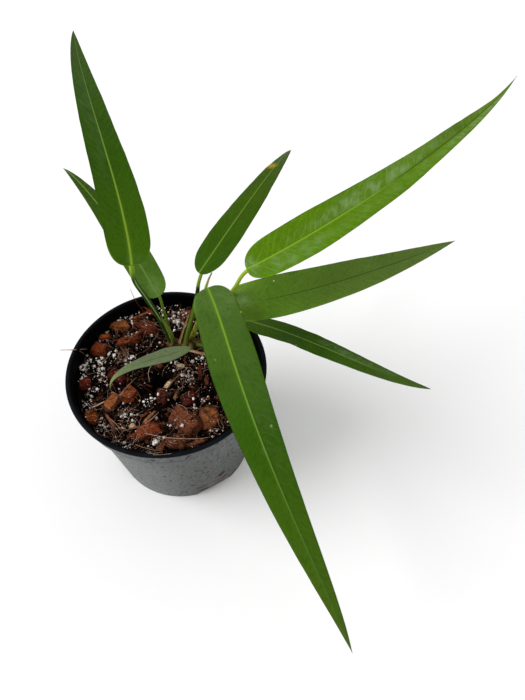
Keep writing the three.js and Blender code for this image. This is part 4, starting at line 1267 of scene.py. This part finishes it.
# Looks of each blade: colours at the base, the middle and the tip, with any between them, and how bright the
# left half and the right half are painted, seen from base to tip: painted light and shade on them. ribHalf is
# the midrib's half width at base and tip in millimetres, and a groove is painted shade along the sunken
# midrib
# in its place: where it starts and ends, its half width, strength. A sheen patch is a pale patch of painted
# sheen: middle along and across, its two reaches, strength. The side given is the margin with painted shade;
# the other margin gets a painted highlight.
# A mark is a small spot: place along and across, radius in millimetres, colour.
bladeLooks = [
    {
        "base": (68, 106, 12), "middle": (53, 89, 11), "tip": (68, 88, 42), "paintedHalfShade": (0.92, 1.02),
        "rib": (140, 174, 52), "ribFar": (108, 130, 78), "ribHalf": (0.9, 0.1), "ribEnd": 1.1,
        "veins": 0.34, "shadedMarginSide": "left",
        "paintedSheens": [(0.02, -0.2, 0.03, 0.8, 0.12), (0.62, 0.4, 0.4, 0.6, 0.08)],
        "marks": [(0.33, 0.43, 1, (72, 98, 44))],
    },
    {
        "base": (96, 133, 49), "middle": (60, 90, 20), "tip": (40, 58, 20), "paintedHalfShade": (1.05, 0.98),
        "rib": (116, 146, 66), "ribHalf": (0.68, 0.3), "ribEnd": 1.1, "veins": 0.25, "shadedMarginSide": "right",
        "paintedSheens": [(0.06, 0, 0.1, 0.6, 0.3)], "marks": [],
    },
    {
        "base": (44, 80, 3), "middle": (53, 80, 5), "tip": (58, 76, 22), "paintedHalfShade": (1.02, 0.98),
        "rib": (106, 134, 44), "ribHalf": (0.5, 0.2), "ribEnd": 0.85, "veins": 0.15, "shadedMarginSide": "left",
        "paintedSheens": [],
        "marks": [(0.694, 0.58, 6, (92, 108, 16)), (0.692, 0.58, 4.3, (148, 126, 32))],
    },
    {
        "base": (76, 113, 6), "middle": (80, 115, 14), "tip": (96, 119, 32), "paintedHalfShade": (1.0, 1.0),
        "rib": (128, 162, 44), "ribHalf": (0.42, 0.26), "ribEnd": 0.42, "veins": 0.3, "shadedMarginSide": "left",
        "groove": (0.42, 1, 0.32, 0.8),
        "paintedSheens": [(0.34, 0.3, 0.26, 0.42, 0.36), (0.5, 0.6, 0.3, 0.6, 0.18), (0.1, -0.5, 0.14, 0.6, 0.22),
                   (0.5, -0.5, 0.4, 0.5, 0.12), (0.76, -0.5, 0.2, 0.6, 0.35), (0.66, 0.4, 0.16, 0.6, 0.16),
                   (0.01, 0, 0.025, 1, 0.5)],
        "marks": [],
    },
    {
        "base": (98, 132, 40), "middle": (86, 114, 42), "tip": (91, 112, 54), "paintedHalfShade": (1.0, 1.0),
        "between": [(0.16, (76, 112, 20))],
        "rib": (104, 130, 52), "ribHalf": (0.45, 0.25), "ribEnd": 0.16, "veins": 0.15, "shadedMarginSide": "left",
        "groove": (0.14, 0.9, 0.34, 0.85),
        "paintedSheens": [(0, 0.1, 0.11, 0.6, 0.5)], "marks": [(0.19, 0.74, 0.6, (206, 214, 176))],
    },
    {
        "base": (58, 88, 8), "middle": (50, 82, 10), "tip": (69, 88, 37), "paintedHalfShade": (0.97, 1.03),
        "rib": (118, 144, 60), "ribHalf": (0.5, 0.2), "ribEnd": 0.75, "veins": 0.2, "shadedMarginSide": "left",
        "paintedSheens": [(0.6, 0.4, 0.3, 0.5, 0.2)],
        "marks": [(0.336, -0.9, 0.5, (150, 170, 96)), (0.5, 0.5, 0.6, (104, 126, 70)),
                  (0.3, 0.3, 0.5, (104, 126, 70))],
    },
    {
        # this blade's pale grey base colour is painted sheen
        "base": (77, 105, 42), "middle": (44, 77, 4), "tip": (70, 94, 22), "paintedHalfShade": (0.86, 1.12),
        "rib": (112, 148, 40), "ribFar": (66, 100, 40), "ribHalf": (0.72, 0.2), "ribEnd": 0.9,
        "veins": 0.26, "shadedMarginSide": "right",
        "paintedSheens": [(0.07, 0.5, 0.08, 0.6, 0.14)],
        "marks": [(0.441, 0.66, 0.9, (104, 132, 62)), (0.134, 0.99, 1.1, (150, 158, 50)),
                  (0.239, -0.66, 0.8, (96, 126, 52))],
    },
    {
        "base": (104, 118, 77), "middle": (97, 110, 80), "tip": (158, 158, 96), "paintedHalfShade": (1.0, 1.0),
        "between": [(0.74, (98, 110, 70))],
        "rib": (108, 120, 80), "ribHalf": (0.3, 0.2), "ribEnd": 0.1, "veins": 0.1, "shadedMarginSide": "left",
        "groove": (0.12, 0.62, 0.3, 0.8), "paintedSheens": [], "marks": [],
    },
]
bladeForm = {
    "halfThickness": 0.4,
    "rowsPerMillimetre": 0.95,
    "baseRows": 14,
    "ribColumns": (0.3, 0.6, 0.95, 1.4, 2.1),
    "outerColumns": 13,
    "tipHalf": 0.12,
    "ribBelow": 0.6,
    "marginWave": 0.3,
    "marginWaveLength": 8,
    "veinSpacing": 4.2,
    "veinSlant": 0.75,
    "veinCurve": 0.012,
    "veinRelief": 0.05,
    "stalkInset": 3.5,
}


def widthShare(leaf, s):
    near = np.minimum(s / leaf["round"], 1)
    blunt = (1 - (1 - near) ** leaf["blunt"]) ** (1 / leaf["blunt"])
    rise = 0.86 + 0.14 * np.sin(np.pi / 2 * np.minimum(s / leaf["belly"], 1))
    run = np.maximum(s - leaf["belly"], 0) / (1 - leaf["belly"])
    return blunt * rise * (1 - run ** leaf["ease"]) ** leaf["taper"]


def bladeDirection(leaf, s):
    bend = leaf["bend"] * (1 - s) ** 6
    heading = np.radians(leaf["heading"] + bend + leaf["swing"] * s + leaf["sweep"] * s ** 4)
    pitch = np.radians(leaf["pitch"] - leaf["droop"] * s - leaf["hook"] * s ** 4)
    along = np.stack([np.cos(pitch) * np.cos(heading), np.cos(pitch) * np.sin(heading), np.sin(pitch)], -1)
    level = np.stack([-np.sin(heading), np.cos(heading), np.zeros_like(heading)], -1)
    return along, level


def bladeFrames(leaf, s):                          # the midrib's places with their side and up directions
    steps = np.linspace(0, 1, 501)
    middle = (steps[1:] + steps[:-1]) / 2
    walked = np.cumsum(bladeDirection(leaf, middle)[0] * leaf["length"] / len(middle), axis=0)
    walked = np.vstack([np.zeros(3), walked]) + np.array(leaf["base"])
    place = np.stack([np.interp(s, steps, walked[:, axis]) for axis in range(3)], -1)
    along, level = bladeDirection(leaf, s)
    upright = np.cross(along, level)
    roll = np.radians(leaf["roll"] + leaf["twist"] * s)[:, None]
    side = level * np.cos(roll) + upright * np.sin(roll)
    return place, side, np.cross(along, side)


def bladeRows(leaf):
    turn = np.linspace(0.03, np.pi / 2, bladeForm["baseRows"])
    baseRows = leaf["round"] * (1 - np.cos(turn) ** (2 / leaf["blunt"]))
    count = round(leaf["length"] * bladeForm["rowsPerMillimetre"])
    return np.concatenate([baseRows, np.linspace(leaf["round"], 0.999, count)[1:]])


def bladeColumns(half):                            # shares across, close together at the midrib and margins
    widths = bladeForm["ribColumns"]
    ribs = np.stack([np.minimum(width / half, 0.42 * width / widths[-1]) for width in widths], -1)
    spread = np.linspace(0, 1, bladeForm["outerColumns"] + 1)[1:]
    spread = spread * (1.5 - 0.5 * spread)
    outer = ribs[:, -1:] + (1 - ribs[:, -1:]) * spread
    right = np.concatenate([ribs, outer], axis=1)
    return np.concatenate([-right[:, ::-1], np.zeros((len(half), 1)), right], axis=1)


def makeBlade(number, leaf, finish, slot):
    form = bladeForm
    s = bladeRows(leaf)
    half = np.maximum(leaf["width"] / 2 * widthShare(leaf, s), form["tipHalf"])
    t = bladeColumns(half)
    offset = half[:, None] * t
    away = np.abs(offset)
    place, side, up = bladeFrames(leaf, s)
    fold = math.radians(leaf["fold"])
    column = s[:, None]
    bodyShare = np.sin(np.pi * column)
    ripple = np.zeros_like(t)
    for at, lifted, reach, rise in leaf["ripples"]:
        ripple = ripple + rise * np.exp(-((column - at) / reach) ** 2) * np.clip(t * lifted, 0, 1) ** 1.5
    waves = s * leaf["length"] / form["marginWaveLength"]
    left, right = (np.array([noise.noise(Vector((wave, number, row))) for wave in waves]) for row in (0, 9))
    margin = np.where(t > 0, left[:, None], right[:, None])
    ripple = ripple + form["marginWave"] * margin * np.abs(t) ** 3 * bodyShare
    keel = (np.sqrt(away ** 2 + 0.25) - 0.5) * math.sin(fold)
    onward = column * leaf["length"] - form["veinSlant"] * away - form["veinCurve"] * away ** 2
    vein = onward / form["veinSpacing"] + 0.8 * margin
    between = np.clip((away - 0.8) / 2, 0, 1) * (1 - np.abs(t) ** 4) * np.sqrt(bodyShare)
    relief = form["veinRelief"] * np.cos(2 * np.pi * vein) * between
    edge = np.sqrt(1 - np.abs(t) ** 8)
    thin = np.clip(half / 1.5, 0.3, 1)[:, None]
    fade = np.minimum((1 - column) * 2, 1)
    ribSpread = 0.75 if leaf["rib"] > 0 else 0.5
    ribOver = leaf["rib"] * np.exp(-(offset / ribSpread) ** 2) * fade * thin
    ribUnder = form["ribBelow"] * np.exp(-(offset / 0.9) ** 2) * fade * thin
    shape = place[:, None] + side[:, None] * (offset * math.cos(fold))[..., None]
    shape = shape + up[:, None] * (keel + ripple)[..., None]
    thickness = form["halfThickness"] * thin
    over = shape + up[:, None] * ((thickness + ribOver + relief) * edge)[..., None]
    under = shape - up[:, None] * ((thickness + ribUnder - 0.6 * relief) * edge)[..., None]
    values = {"along": column, "across": t, "offset": offset, "vein": vein}
    points, faces, values = twoSkins(over, under, values)
    values["upper"] = np.arange(len(points)) < t.size
    return addMesh(f"leaf{number}Blade", points, faces, [finish], values, f"leaf_{number}_blade", slot)


def shade(colour, factor):                         # a screen colour made darker or lighter
    return tuple(level * factor for level in rgb(*colour)[:3]) + (1,)


def bladeFinish(number, leaf, look):
    finish = Finish(f"leaf{number}Skin", Roughness=0.5, Specular_IOR_Level=0.03, Coat_Roughness=0.3)
    along, across, offset = finish.value("along"), finish.value("across"), finish.value("offset")
    vein, upper = finish.value("vein"), finish.value("upper")
    away = offset.size()
    onLeft = across.rise(-0.06, 0.06)
    stops = [(0.04, look["base"]), (0.45, look["middle"]), (0.96, look["tip"])] + look.get("between", [])
    finish.colour = finish.ramp(along, sorted(stops))
    # the left half and the right half made brighter or darker: painted light and shade
    left, right = look["paintedHalfShade"]
    finish.colour = finish.scaled(finish.colour, onLeft * (left - right) + right)
    deep, pale = shade(look["middle"], 0.6), shade(look["middle"], 1.6)
    cloud = finish.noise(60, 4)
    fine = finish.noise(800, 3)
    patch = finish.noise(1, 4, at=finish.vector(vein * 2.4, away * 0.45, onLeft * 5))
    finish.lay(deep, (1 - cloud.rise(0.3, 0.52)) * 0.25 + fine.rise(0.52, 0.68) * 0.2)
    finish.lay(pale, cloud.rise(0.5, 0.75) * 0.12 + (1 - fine.rise(0.32, 0.47)) * 0.18)
    finish.lay(deep, (1 - patch.rise(0.32, 0.5)) * 0.3)
    finish.lay(pale, patch.rise(0.52, 0.7) * 0.16)
    line = 1 - ((vein + fine * 0.12).part() - 0.5).size().rise(0.03, 0.17)
    finish.lay(pale, line * finish.noise(140, 3).rise(0.36, 0.6) * look["veins"] * 1.4)
    net = finish.add("ShaderNodeTexVoronoi", {"feature": "DISTANCE_TO_EDGE"},
                     {"Vector": finish.vector(vein * 2.2, away * 0.8, onLeft), "Scale": 1})
    netLine = 1 - net.rise(0.02, 0.12)
    finish.lay(pale, netLine * look["veins"] * 0.5)
    streak = finish.noise(1, 4, at=finish.vector(vein * 2.6, away * 0.2, onLeft * 5)) * 0.4
    streak = streak + finish.noise(190, 4) * 0.6
    # pale patches of painted sheen
    for middle, aside, reach, wide, strength in look["paintedSheens"]:
        far = ((along - middle) / reach) ** 2 + ((across - aside) / wide) ** 2
        paintedSheen = (1 - far.rise(0, 1)) * (streak.rise(0.4, 0.64) * 0.8 + 0.1) * strength
        finish.lay((150, 176, 128), paintedSheen)
    ribBase, ribTip = look["ribHalf"]
    ribHalf = ribBase + along * (ribTip - ribBase)
    rib = (1 - (away / ribHalf).rise(0.5, 1)) * (1 - along.rise(look["ribEnd"] - 0.2, look["ribEnd"] + 0.1))
    ribColour = finish.blend(look["rib"], look.get("ribFar", look["rib"]), along.rise(0.15, 0.8))
    finish.lay(ribColour, rib * 0.9)
    besideRib = (1 - (away / (ribHalf * 3.5)).rise(0, 1)) * (1 - along.rise(0, 0.45))
    finish.lay(look["rib"], besideRib * 0.2)
    # a dark line along the sunken midrib: painted shade in the groove
    if "groove" in look:
        start, end, half, strength = look["groove"]
        run = along.rise(start - 0.04, start + 0.04) * (1 - along.rise(end - 0.2, end + 0.05))
        hatch = finish.noise(1, 2, at=finish.vector(vein * 9, onLeft)) * 0.6 + 0.55
        groove = (1 - (away / half).rise(0.4, 1)) * run * hatch
        finish.lay(shade(look["middle"], 0.25), groove * strength)
    # one margin gets painted shade and the other a painted highlight
    shadedMarginSide = onLeft if look["shadedMarginSide"] == "left" else 1 - onLeft
    margin = across.size().rise(0.93, 0.985)
    finish.lay(deep, margin * shadedMarginSide * 0.6)
    finish.lay(pale, margin * (1 - shadedMarginSide) * 0.35)
    # a pale rim round the blade's base: painted highlight
    baseEdgeHighlight = (across.size().rise(0.9, 0.97) + 1 - along.rise(0.002, 0.006)) * (1 - along.rise(0.04, 0.12))
    finish.lay(shade(look["base"], 1.8), baseEdgeHighlight.rise(0, 1) * 0.6)
    for middle, aside, radius, markColour in look["marks"]:
        lengthwise = (along - middle) * leaf["length"]
        halfWidth = leaf["width"] / 2 * float(widthShare(leaf, np.array(middle * 0.999)))
        sideways = offset - aside * halfWidth
        far = (lengthwise * lengthwise + sideways * sideways) ** 0.5 + (fine - 0.5) * radius
        finish.lay(markColour, 1 - far.rise(radius * 0.3, radius))
    underColour = finish.blend(shade(look["middle"], 1.5), (116, 142, 84), 0.45 + fine * 0.2)
    underColour = finish.blend(underColour, (150, 172, 96), rib * 0.8)
    finish.feed("Base Color", finish.blend(underColour, finish.colour, upper))
    finish.feed("Roughness", 0.42 + cloud * 0.16 + (1 - upper) * 0.15)
    finish.feed("Coat Weight", upper * streak.rise(0.45, 0.8) * 0.12)
    finish.bump(line * 0.5 + netLine * 0.4 + fine * 0.3 + streak * 0.3, 0.25, 0.0003)
    return finish


# A stalk runs on under its blade and thins out there: how far past the inset each of its last rows lies, how
# deep under the midrib, and its share of the neck's radius
stalkForm = {
    "rows": 90,
    "sides": 20,
    "tailReach": (2.5, 5, 8, 11),
    "tailDepth": (0.95, 0.85, 0.75, 0.6),
    "tailShare": (0.86, 0.72, 0.52, 0.3),
}


def stalkRadius(leaf, u):
    foot, neck = leaf["stalkRadii"]
    swell = 0.08 * np.exp(-((u - 0.9) / 0.07) ** 2)
    return (neck + (foot - neck) * (1 - u) ** 1.3) * (1 + swell)


def stalkLine(leaf):                               # as far as the blade's midrib
    inset = np.array([bladeForm["stalkInset"] / leaf["length"]])
    place, side, up = bladeFrames(leaf, inset)
    return [tuple(point) for point in leaf["stalk"]] + [tuple(place[0])]


def makeStalk(number, leaf, finish):
    form = stalkForm
    u = np.linspace(0, 1, form["rows"])
    line = curveThrough(stalkLine(leaf), u)
    reach = (bladeForm["stalkInset"] + np.array([0, *form["tailReach"]])) / leaf["length"]
    place, side, up = bladeFrames(leaf, reach)
    tail = place[1:] - up[1:] * np.array(form["tailDepth"])[:, None]
    sink = np.clip((u - 0.9) / 0.1, 0, 1) ** 2
    line = line - sink[:, None] * up[0] * form["tailDepth"][0]
    line = np.vstack([line[:-2], tail])
    radii = np.concatenate([stalkRadius(leaf, u)[:-2], leaf["stalkRadii"][1] * np.array(form["tailShare"])])
    for smoothing in range(3):
        line[-9:-1] = (line[-10:-2] + 2 * line[-9:-1] + line[-8:]) / 4
    points, faces, values = tube(line, radii, form["sides"])
    return addMesh(f"leaf{number}Stalk", points, faces, [finish], values, f"leaf_{number}_stalk", "stalk")


# Colours of each stalk: shares of the way from foot to neck with the colour there. Each painted highlight is
# a
# pale line down the skin: place and half width round the stalk as shares of a turn, where it starts and ends,
# its colour and strength.
stalkLooks = [
    {
        "stops": [(0, (70, 88, 26)), (0.12, (36, 60, 16)), (0.5, (28, 50, 14)), (0.8, (40, 70, 16)),
                  (0.88, (124, 152, 26)), (1, (150, 176, 44))],
        "paintedHighlights": [(0.02, 0.075, 0.36, 0.8, (140, 176, 92), 0.85),
                   (0.08, 0.03, 0.05, 0.36, (124, 150, 52), 0.6)],
    },
    {
        "stops": [(0, (66, 84, 26)), (0.3, (84, 112, 30)), (0.7, (104, 134, 36)), (1, (118, 146, 46))],
        "paintedHighlights": [],
    },
    {
        "stops": [(0, (150, 136, 74)), (0.1, (86, 104, 32)), (0.5, (74, 98, 26)), (0.62, (34, 52, 14)),
                  (0.71, (26, 42, 12)), (0.77, (112, 142, 30)), (1, (126, 156, 38))],
        "paintedHighlights": [(0.92, 0.06, 0.05, 0.6, (112, 138, 40), 0.5)],
    },
    {"stops": [(0, (100, 122, 30)), (0.4, (132, 158, 32)), (1, (156, 182, 46))], "paintedHighlights": []},
    {"stops": [(0, (60, 82, 22)), (0.6, (62, 92, 24)), (1, (98, 124, 36))], "paintedHighlights": []},
    {"stops": [(0, (60, 82, 22)), (0.6, (66, 94, 26)), (1, (98, 124, 36))], "paintedHighlights": []},
    {"stops": [(0, (60, 84, 20)), (0.6, (60, 90, 22)), (1, (98, 128, 36))], "paintedHighlights": []},
    {"stops": [(0, (96, 92, 48)), (0.6, (84, 98, 50)), (1, (100, 112, 64))], "paintedHighlights": []},
]


def stalkFinish(number, look):
    finish = Finish(f"leaf{number}StalkSkin", Roughness=0.4, Specular_IOR_Level=0.12)
    along, around = finish.value("along"), finish.value("around")
    turn = around * (2 * math.pi)
    ringPlace = finish.vector(turn.maths("COSINE", turn) * 2.2, turn.maths("SINE", turn) * 2.2, along * 7)
    streak = finish.noise(1, 3, at=ringPlace)
    fine = finish.noise(900, 2)
    finish.colour = finish.ramp(along, look["stops"])
    finish.lay(shade(look["stops"][-1][1], 0.9), streak.rise(0.55, 0.78) * 0.25)
    # pale lines down the skin: painted highlights
    for middle, half, start, end, highlightColour, strength in look["paintedHighlights"]:
        aside = ((around - middle + 0.5).part() - 0.5).size()
        run = along.rise(start - 0.04, start + 0.04) * (1 - along.rise(end - 0.04, end + 0.04))
        highlightMask = (1 - (aside / half).rise(0.3, 1)) * run * (0.6 + streak * 0.7)
        finish.lay(highlightColour, highlightMask * strength)
    finish.lay((70, 50, 26), (1 - along.rise(0, 0.06)) * fine.rise(0.35, 0.6) * 0.7)
    finish.feed("Base Color", finish.colour)
    finish.feed("Roughness", 0.36 + fine * 0.15)
    finish.bump(streak + fine * 0.4, 0.2, 0.0004)
    return finish


bladeSlots = ["blade"] * len(leaves)
bladeSlots[3] = "young_blade"
bladeSlots[7] = "dull_blade"
for index, leaf in enumerate(leaves):
    makeBlade(index + 1, leaf, bladeFinish(index + 1, leaf, bladeLooks[index]), bladeSlots[index])
    makeStalk(index + 1, leaf, stalkFinish(index + 1, stalkLooks[index]))
print("leaves made")


# Rhizome with its roots, the two sheaths and the new shoot

crownForm = {
    "rows": 110,
    "rhizomeSides": 32,
    "rhizomeRoute": [(-8.1, 24.4, 76.3), (-1.2, 23.8, 78), (6.8, 22.2, 78.6), (14.7, 23.1, 78.8),
                     (21.7, 24, 78.4), (26.6, 23.4, 76.5)],
    "rhizomeRadius": 4.8,
    "rootRadius": 1.3,
    "roots": 6,
    "rootSpread": 27,
    "rootDepth": (38, 18),                         # the least, and how much more at most
    "surfaceRoot": [(7.4, 21, 78.5), (8.6, 17.7, 80.6), (13.6, 15.7, 81), (18.4, 14.5, 80.7),
                    (24.1, 14, 78.5), (28.8, 15.6, 72)],
    "surfaceRootRadii": (1, 0.75),
    "shootRoute": [(9, 27.5, 78.5), (11, 28.5, 85), (13.5, 29.5, 92), (17.2, 30, 103), (19.9, 32, 119),
                   (22.3, 32.6, 128), (24.9, 32.5, 135)],
    "shootSides": 20,
    "shootRadius": 2,
    "shootTip": 0.35,
}
sheaths = [
    {"leaf": 1, "from": 0.03, "to": 0.42, "facing": (0.9, -0.4, 0), "spread": 38, "flare": 0.4,
     "slot": "green_sheath", "dark": (84, 110, 26), "pale": (150, 172, 66)},
    {"leaf": 3, "from": 0.05, "to": 0.4, "facing": (-1, -0.1, 0), "spread": 40, "flare": 1.1,
     "slot": "brown_sheath", "dark": (92, 58, 30), "pale": (176, 128, 78)},
]
sheathForm = {"gap": 0.3, "thickness": 0.7, "rows": 46, "columns": 23}


def makeRhizome(finish):
    form = crownForm
    u = np.linspace(0, 1, form["rows"])
    line = curveThrough(form["rhizomeRoute"], u)
    ends = np.sin(np.pi * np.clip(u, 0.04, 0.96)) ** 0.4
    scars = 0.3 * np.abs(np.sin(u * 34)) ** 6
    girth = (form["rhizomeRadius"] + 0.35 * np.cos(u * 40) - scars) * ends
    points, faces, values = tube(line, girth, form["rhizomeSides"])
    heap = Heap()
    centre = np.repeat(line, form["rhizomeSides"], axis=0)
    points = centre + (points - centre) * (1 + 0.09 * lumpiness(points, 3, 3, 2))[:, None]
    heap.put(points, faces, 0.5)
    draws = seededRandom(7)
    least, more = form["rootDepth"]
    for root in range(form["roots"]):
        start = curveThrough(form["rhizomeRoute"], np.array([0.12 + 0.76 * root / (form["roots"] - 1)]))[0]
        bearing = math.radians(360 * root / form["roots"] + 30 * next(draws))
        depth = least + more * next(draws)
        aside = form["rootSpread"] * np.array([math.cos(bearing), math.sin(bearing)])
        aim = np.array([*aside, start[2]])
        knee = start + (aim - start) * 0.45
        low = start + (aim - start) * 0.9
        knee[2] = start[2] - depth * 0.25
        low[2] = start[2] - depth * 0.65
        end = low + np.array([4 * next(draws) - 2, 4 * next(draws) - 2, 0])
        end[2] = start[2] - depth
        share = np.linspace(0, 1, 24)
        points, faces, values = tube(curveThrough([start, knee, low, end], share),
                                     form["rootRadius"] * (1 - 0.5 * share), 8)
        heap.put(points, faces, 0.2)
    share = np.linspace(0, 1, 60)
    thick, thin = form["surfaceRootRadii"]
    radii = (thick + (thin - thick) * share) * (1 + 0.08 * np.sin(share * 37))
    points, faces, values = tube(curveThrough(form["surfaceRoot"], share), radii, 14)
    heap.put(points, faces, 0.9)
    return heap.finish("rhizomeAndRoots", [finish], "rhizome", "rhizome")


def makeSheath(sheath, finish):
    form = sheathForm
    leaf = leaves[sheath["leaf"] - 1]
    share = np.linspace(0, 1, form["rows"])
    u = sheath["from"] + (sheath["to"] - sheath["from"]) * share
    places = 400                                   # along the stalk, to pick the sheath's rows from
    path = curveThrough(stalkLine(leaf), np.linspace(0, 1, places))
    along, out, across = lineFrames(path, np.array(sheath["facing"]))
    pick = np.round(u * (places - 1)).astype(int)
    ragged = np.array([noise.noise(Vector((value * 9, sheath["leaf"], 0))) for value in share])
    spread = math.radians(sheath["spread"]) * np.maximum(1 - share ** 3, 0.12) * (1 + 0.25 * ragged)
    t = np.linspace(-1, 1, form["columns"])
    angle = spread[:, None] * t
    clear = stalkRadius(leaf, u) + form["gap"] + sheath["flare"] * (1 - share) ** 2
    edge = np.sqrt(np.maximum(1 - np.abs(t) ** 6, 0))
    curl = 0.35 * np.abs(t) ** 4 * (0.6 + ragged[:, None])
    crease = 0.1 * np.sin(angle * 14)
    middle = clear[:, None] + form["thickness"] / 2 + curl + crease
    outward, sideways = out[pick][:, None], across[pick][:, None]
    ring = outward * np.cos(angle)[..., None] + sideways * np.sin(angle)[..., None]
    skin = form["thickness"] / 2 * edge * np.maximum(1 - share[:, None] ** 6, 0.3)
    stalk = path[pick][:, None]
    over, under = (stalk + ring * radius[..., None] for radius in (middle - skin, middle + skin))
    points, faces, values = twoSkins(over, under, {"across": t, "along": share[:, None]})
    node = f"leaf_{sheath['leaf']}_sheath"
    return addMesh(f"leaf{sheath['leaf']}Sheath", points, faces, [finish], values, node, sheath["slot"])


def makeShoot(finish):
    form = crownForm
    u = np.linspace(0, 1, form["rows"])
    radii = form["shootTip"] + (form["shootRadius"] - form["shootTip"]) * (1 - u) ** 0.9
    sides = form["shootSides"]
    angle = np.arange(sides) / sides * 2 * np.pi
    overlap = 1 + 0.1 * np.cos(angle - 1 + 2.2 * u[:, None]) ** 3 + 0.03 * np.sin(angle * 5)
    points, faces, values = tube(curveThrough(form["shootRoute"], u), radii[:, None] * overlap, sides)
    return addMesh("newShoot", points, faces, [finish], values, "new_shoot", "new_shoot")


def rhizomeFinish():
    finish = Finish("rhizomeBark", Roughness=0.85, Specular_IOR_Level=0.1)
    kind = finish.value("tint")
    coarse = finish.noise(260, 4)
    fine = finish.noise(900, 3)
    finish.colour = finish.blend((46, 30, 18), (104, 78, 46), coarse.rise(0.45, 0.65))
    finish.lay((98, 96, 40), finish.noise(150, 2).rise(0.55, 0.64) * 0.6)
    finish.lay((184, 146, 112), kind.rise(0.6, 0.9))
    finish.lay((30, 16, 10), fine.rise(0.54, 0.68) * 0.7)
    finish.feed("Base Color", finish.colour)
    finish.bump(coarse + fine, 0.9, 0.0006)
    return finish


def sheathFinish(sheath):
    finish = Finish(f"leaf{sheath['leaf']}SheathPaper", Roughness=0.7, Specular_IOR_Level=0.2)
    along, across = finish.value("along"), finish.value("across")
    streak = finish.noise(1, 3, at=finish.vector(across * 9, along * 1.6))
    cloud = finish.noise(300, 3)
    finish.colour = finish.blend(sheath["dark"], sheath["pale"], streak.rise(0.35, 0.7))
    finish.lay((62, 34, 18), (1 - along.rise(0, 0.35)) * cloud.rise(0.45, 0.6) * 0.7)
    finish.lay((206, 196, 140), across.size().rise(0.8, 1) * 0.4)
    finish.feed("Base Color", finish.colour)
    finish.bump(streak + cloud * 0.5, 0.5, 0.0004)
    return finish


def shootFinish():
    finish = Finish("newShootSkin", Roughness=0.55, Specular_IOR_Level=0.25)
    along, around = finish.value("along"), finish.value("around")
    streak = finish.noise(1, 3, at=finish.vector(around * 14, along * 4))
    stops = [(0, (124, 120, 40)), (0.2, (164, 172, 50)), (0.6, (160, 182, 54)), (0.8, (170, 184, 90)),
             (0.88, (190, 164, 140)), (1, (168, 130, 124))]
    finish.colour = finish.ramp(along, stops)
    finish.lay((172, 180, 84), streak.rise(0.5, 0.7) * 0.4)
    low = 1 - along.rise(0.12, 0.5)
    finish.lay((96, 52, 26), low * finish.noise(420, 3).rise(0.52, 0.64) * 0.85)
    finish.feed("Base Color", finish.colour)
    finish.bump(streak, 0.5, 0.0004)
    return finish


makeRhizome(rhizomeFinish())
for sheath in sheaths:
    makeSheath(sheath, sheathFinish(sheath))
makeShoot(shootFinish())
print("rhizome, sheaths and new shoot made")
